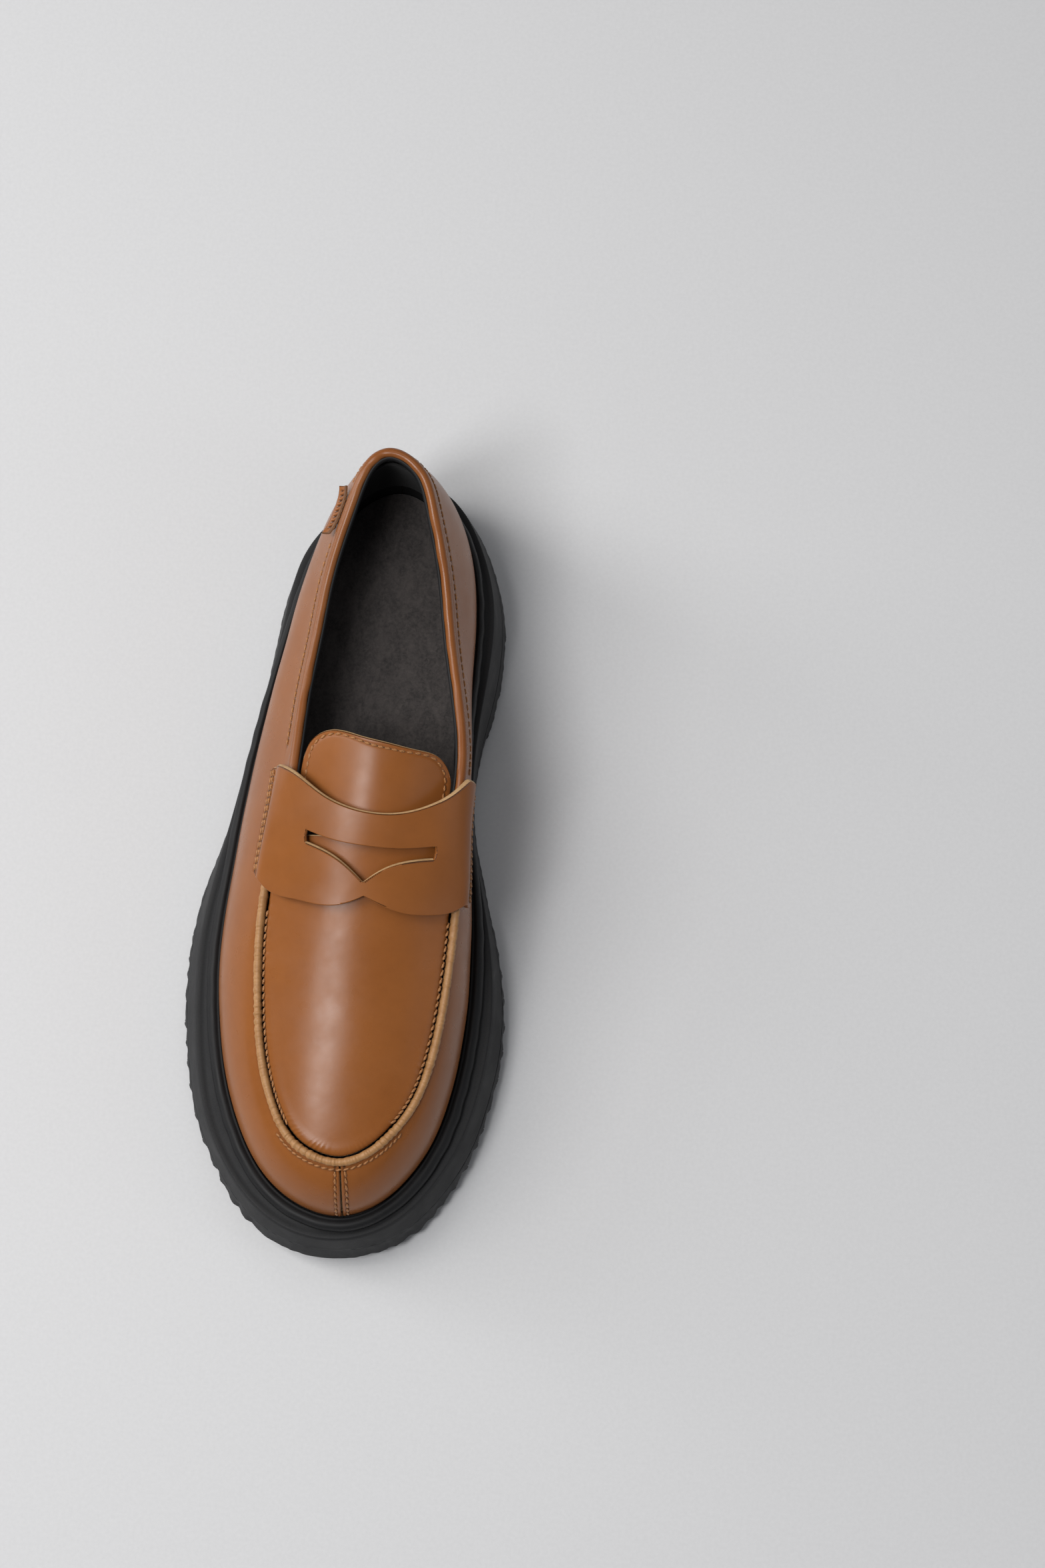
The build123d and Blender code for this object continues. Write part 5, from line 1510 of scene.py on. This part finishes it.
# ---------------------------------------------------------------- thread
def stitch_row(name, node, places, body="root", length=2.55, radius=0.4, slant=0.1):
    """Row of separate two-ply stitches; a place is a point, a direction and a normal."""
    rng = np.random.default_rng(len(name) * 7)
    point, ahead, normal = (np.array([place[k] for place in places], float) for k in range(3))
    normal = unit(normal)
    ahead = unit(ahead - normal * np.einsum("ij,ij->i", ahead, normal)[:, None])
    side = np.cross(normal, ahead)
    angle = slant + rng.normal(0, 0.05, len(point))
    ahead = ahead * np.cos(angle)[:, None] + side * np.sin(angle)[:, None]
    side = np.cross(normal, ahead)
    long = 0.5 * length * (1 + rng.normal(0, 0.035, len(point)))
    high = rng.uniform(0.85, 1.1, len(point))
    count, around = 11, 10
    s = np.linspace(-1, 1, count)
    turn = np.linspace(0, 2 * math.pi, around, endpoint=False)
    rings = []
    for k, place in enumerate(s):
        climb = high * (0.46 * (1 - abs(place) ** 3) - 0.34)
        middle = point + ahead * (long * place)[:, None] + normal * climb[:, None]
        fat = radius * (1 - 0.25 * abs(place) ** 4)
        ring = []
        for a in turn:
            lobe = fat * (1 + 0.24 * math.cos(2 * (a - 2.6 * place)))
            ring.append(middle + side * lobe * math.cos(a) + normal * lobe * 0.85 * math.sin(a))
        rings.append(ring)
    rings = np.array(rings).transpose(2, 0, 1, 3)
    # Painted shade at each stitch's ends, where the thread dives into its holes, and on the end caps.
    dark = np.append(np.repeat(0.8 * np.abs(s) ** 5, around), (0.8, 0.8))
    points, quads, start = [], [], 0
    for one in rings:
        got, faces = tube(one)
        points.append(got)
        quads.append(outside_out(got, faces) + start)
        start += len(got)
    points, quads, shade = np.vstack(points), np.vstack(quads), np.tile(dark, len(rings))
    piece(name, points, quads, thread_look, "thread", [node], body, shade=shade)


def wall_places(u0, u1, v_of, out=0.0):
    """Stitch places on the wall along a line given by v as a function of u."""
    us = np.arange(u0 + STITCH_PITCH / 2, u1, STITCH_PITCH)
    ahead = wall_point(us + 0.5, v_of(us + 0.5)) - wall_point(us - 0.5, v_of(us - 0.5))
    normal = wall_normal(us, v_of(us))
    return list(zip(wall_point(us, v_of(us)) + normal * out, ahead, normal))


row_of = line_below_rim(TOPLINE_ROW)
lateral_end, medial_end = u_at(30.0, True), u_at(26.0, False)
before, after = u_at(TAB_Y[0] - 2, True), u_at(TAB_Y[1] + 2, True)
places = wall_places(lateral_end, before, row_of, 0.12)
places += wall_places(after, medial_end, row_of, 0.12)
stitch_row("stitches_topline", "thread_topline", places)

places = []
for side in (-1, 1):
    u = side * TOE_ROW
    for v in np.arange(0.17, 0.9, STITCH_PITCH / TOE_HEIGHT):
        near = np.array((v - 0.02, v, v + 0.02))
        line = wall_point(np.full(3, u), near)
        places.append((line[1], line[2] - line[0], wall_normal(u, v)))
stitch_row("stitches_toe_seam", "thread_toe_seam", places, length=2.55, radius=0.42, slant=0.14)

lateral_end, medial_end = (float(u_where(top_line, -31.0, side)) for side in (True, False))
us = np.arange(medial_end - AROUND, lateral_end, STITCH_PITCH)
us = us[u_from_toe(us) > BARE_TOE]
spots = [apron_edge(us + d, 2.3) for d in (-0.5, 0.0, 0.5)]
_, normal = on_height(apron_height, spots[1][:, 0], spots[1][:, 1])
places = list(zip(spots[1] - normal * 0.1, spots[2] - spots[0], normal))
stitch_row("stitches_apron", "thread_apron", places, length=2.6, radius=0.4, slant=-0.3)
under_piping = line_below_rim(2.7)
places = wall_places(-BARE_TOE, BARE_TOE, under_piping, -0.05)
stitch_row("stitches_apron_toe", "thread_apron", places, length=2.5, radius=0.34, slant=0.25)

for lateral, y_low, y_high in ((True, -15.0, 19.0), (False, -19.5, 17.0)):
    places = []
    for inset in STRAP_ROWS:
        for y in np.arange(y_low, y_high, STRAP_END_PITCH):
            spots = []
            for near in (y - 0.6, y, y + 0.6):
                at, length = strap_section(near)
                spots.append(at(inset if lateral else length - inset))
            at, length = strap_section(y)
            spot = inset if lateral else length - inset
            across = at(spot + 0.5) - at(spot - 0.5)
            places.append((spots[1], spots[2] - spots[0], np.cross(across, spots[2] - spots[0])))
    side = "lateral" if lateral else "medial"
    name, node = "stitches_strap_" + side, "thread_strap_" + side
    stitch_row(name, node, places, length=2.5, radius=0.46, slant=0.2)

run = np.arange(0.0, tongue_run[-1], STITCH_PITCH)
spots = []
for d in (-0.4, 0.0, 0.4):
    edge = tongue_edge(run + d)
    arm = edge - TONGUE_CENTRE
    edge = TONGUE_CENTRE + arm * (1 - 2.2 / np.linalg.norm(arm, axis=1, keepdims=True))
    spots.append(on_height(tongue_height, edge[:, 0], edge[:, 1], 0.1))
keep = spots[1][0][:, 1] > 8.0
places = list(zip(spots[1][0][keep], (spots[2][0] - spots[0][0])[keep], spots[1][1][keep]))
stitch_row("stitches_tongue", "thread_tongue", places, "tongue")

# ---------------------------------------------------------------- floor, camera and lights
FLOOR_RADIUS, FLOOR_DROP = 2.4, 0.0002  # metres
floor_mesh = bpy.data.meshes.new("floor")
ring = np.linspace(0, 2 * math.pi, 64, endpoint=False)
floor_points = [(FLOOR_RADIUS * math.cos(a), FLOOR_RADIUS * math.sin(a), -FLOOR_DROP) for a in ring]
floor_mesh.from_pydata(floor_points, [], [tuple(range(len(ring)))])
floor_look = Look("floor_paper")
tooth = floor_look.noise(1.4, 3.0)
paper = floor_look.mix(floor_look.between(tooth, 0.3, 0.7), rgb(213, 213, 214), rgb(217, 217, 218))
floor_mesh.materials.append(floor_look.done(paper, 0.85))
floor = bpy.data.objects.new("floor", floor_mesh)
bpy.context.scene.collection.objects.link(floor)
floor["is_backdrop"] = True

world = bpy.data.worlds.new("studio")
world.use_nodes = True
world.node_tree.nodes["Background"].inputs["Color"].default_value = (0.93, 0.95, 1.0, 1.0)
world.node_tree.nodes["Background"].inputs["Strength"].default_value = 0.16
bpy.context.scene.world = world


def softbox(name, place, aim, size, power, tint=(1.0, 1.0, 1.0)):
    """Rectangular studio light that points at a place; millimetres and watts."""
    data = bpy.data.lights.new(name, "AREA")
    data.shape = "RECTANGLE"
    data.size, data.size_y = size[0] * MM, size[1] * MM
    data.energy, data.color = power, tint
    made = bpy.data.objects.new(name, data)
    bpy.context.scene.collection.objects.link(made)
    made.location = [c * MM for c in place]
    away = (np.array(place) - np.array(aim)).tolist()
    made.rotation_euler = Vector(away).to_track_quat("Z", "Y").to_euler()
    return made


softbox("key", (-900, 150, 1500), (0, 0, 40), (700, 1000), 11.8, (1.0, 0.985, 0.96))
softbox("side", (-1400, 420, 460), (0, 0, 40), (500, 1300), 8.0)
softbox("over", (-560, -480, 1800), (0, -40, 60), (380, 760), 16.0)
softbox("back", (150, 900, 1900), (0, 0, 60), (1000, 700), 2.6)
softbox("fill", (1200, -250, 700), (0, 0, 40), (400, 900), 0.9, (0.96, 0.98, 1.0))

camera_data = bpy.data.cameras.new("camera")
camera_data.lens = 89.31
camera_data.sensor_width = 36.0
camera_data.clip_end = 50.0
camera = bpy.data.objects.new("camera", camera_data)
bpy.context.scene.collection.objects.link(camera)
camera.location = (0.0866, -0.27208, 1.46722)
camera.rotation_euler = (math.radians(12), 0.0, math.radians(5))
bpy.context.scene.camera = camera
bpy.context.scene.view_settings.view_transform = "Standard"

sizes = {"cad": cad_box, "visual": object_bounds()}
{key: [list(map(float, corner)) for corner in box] for key, box in sizes.items()}
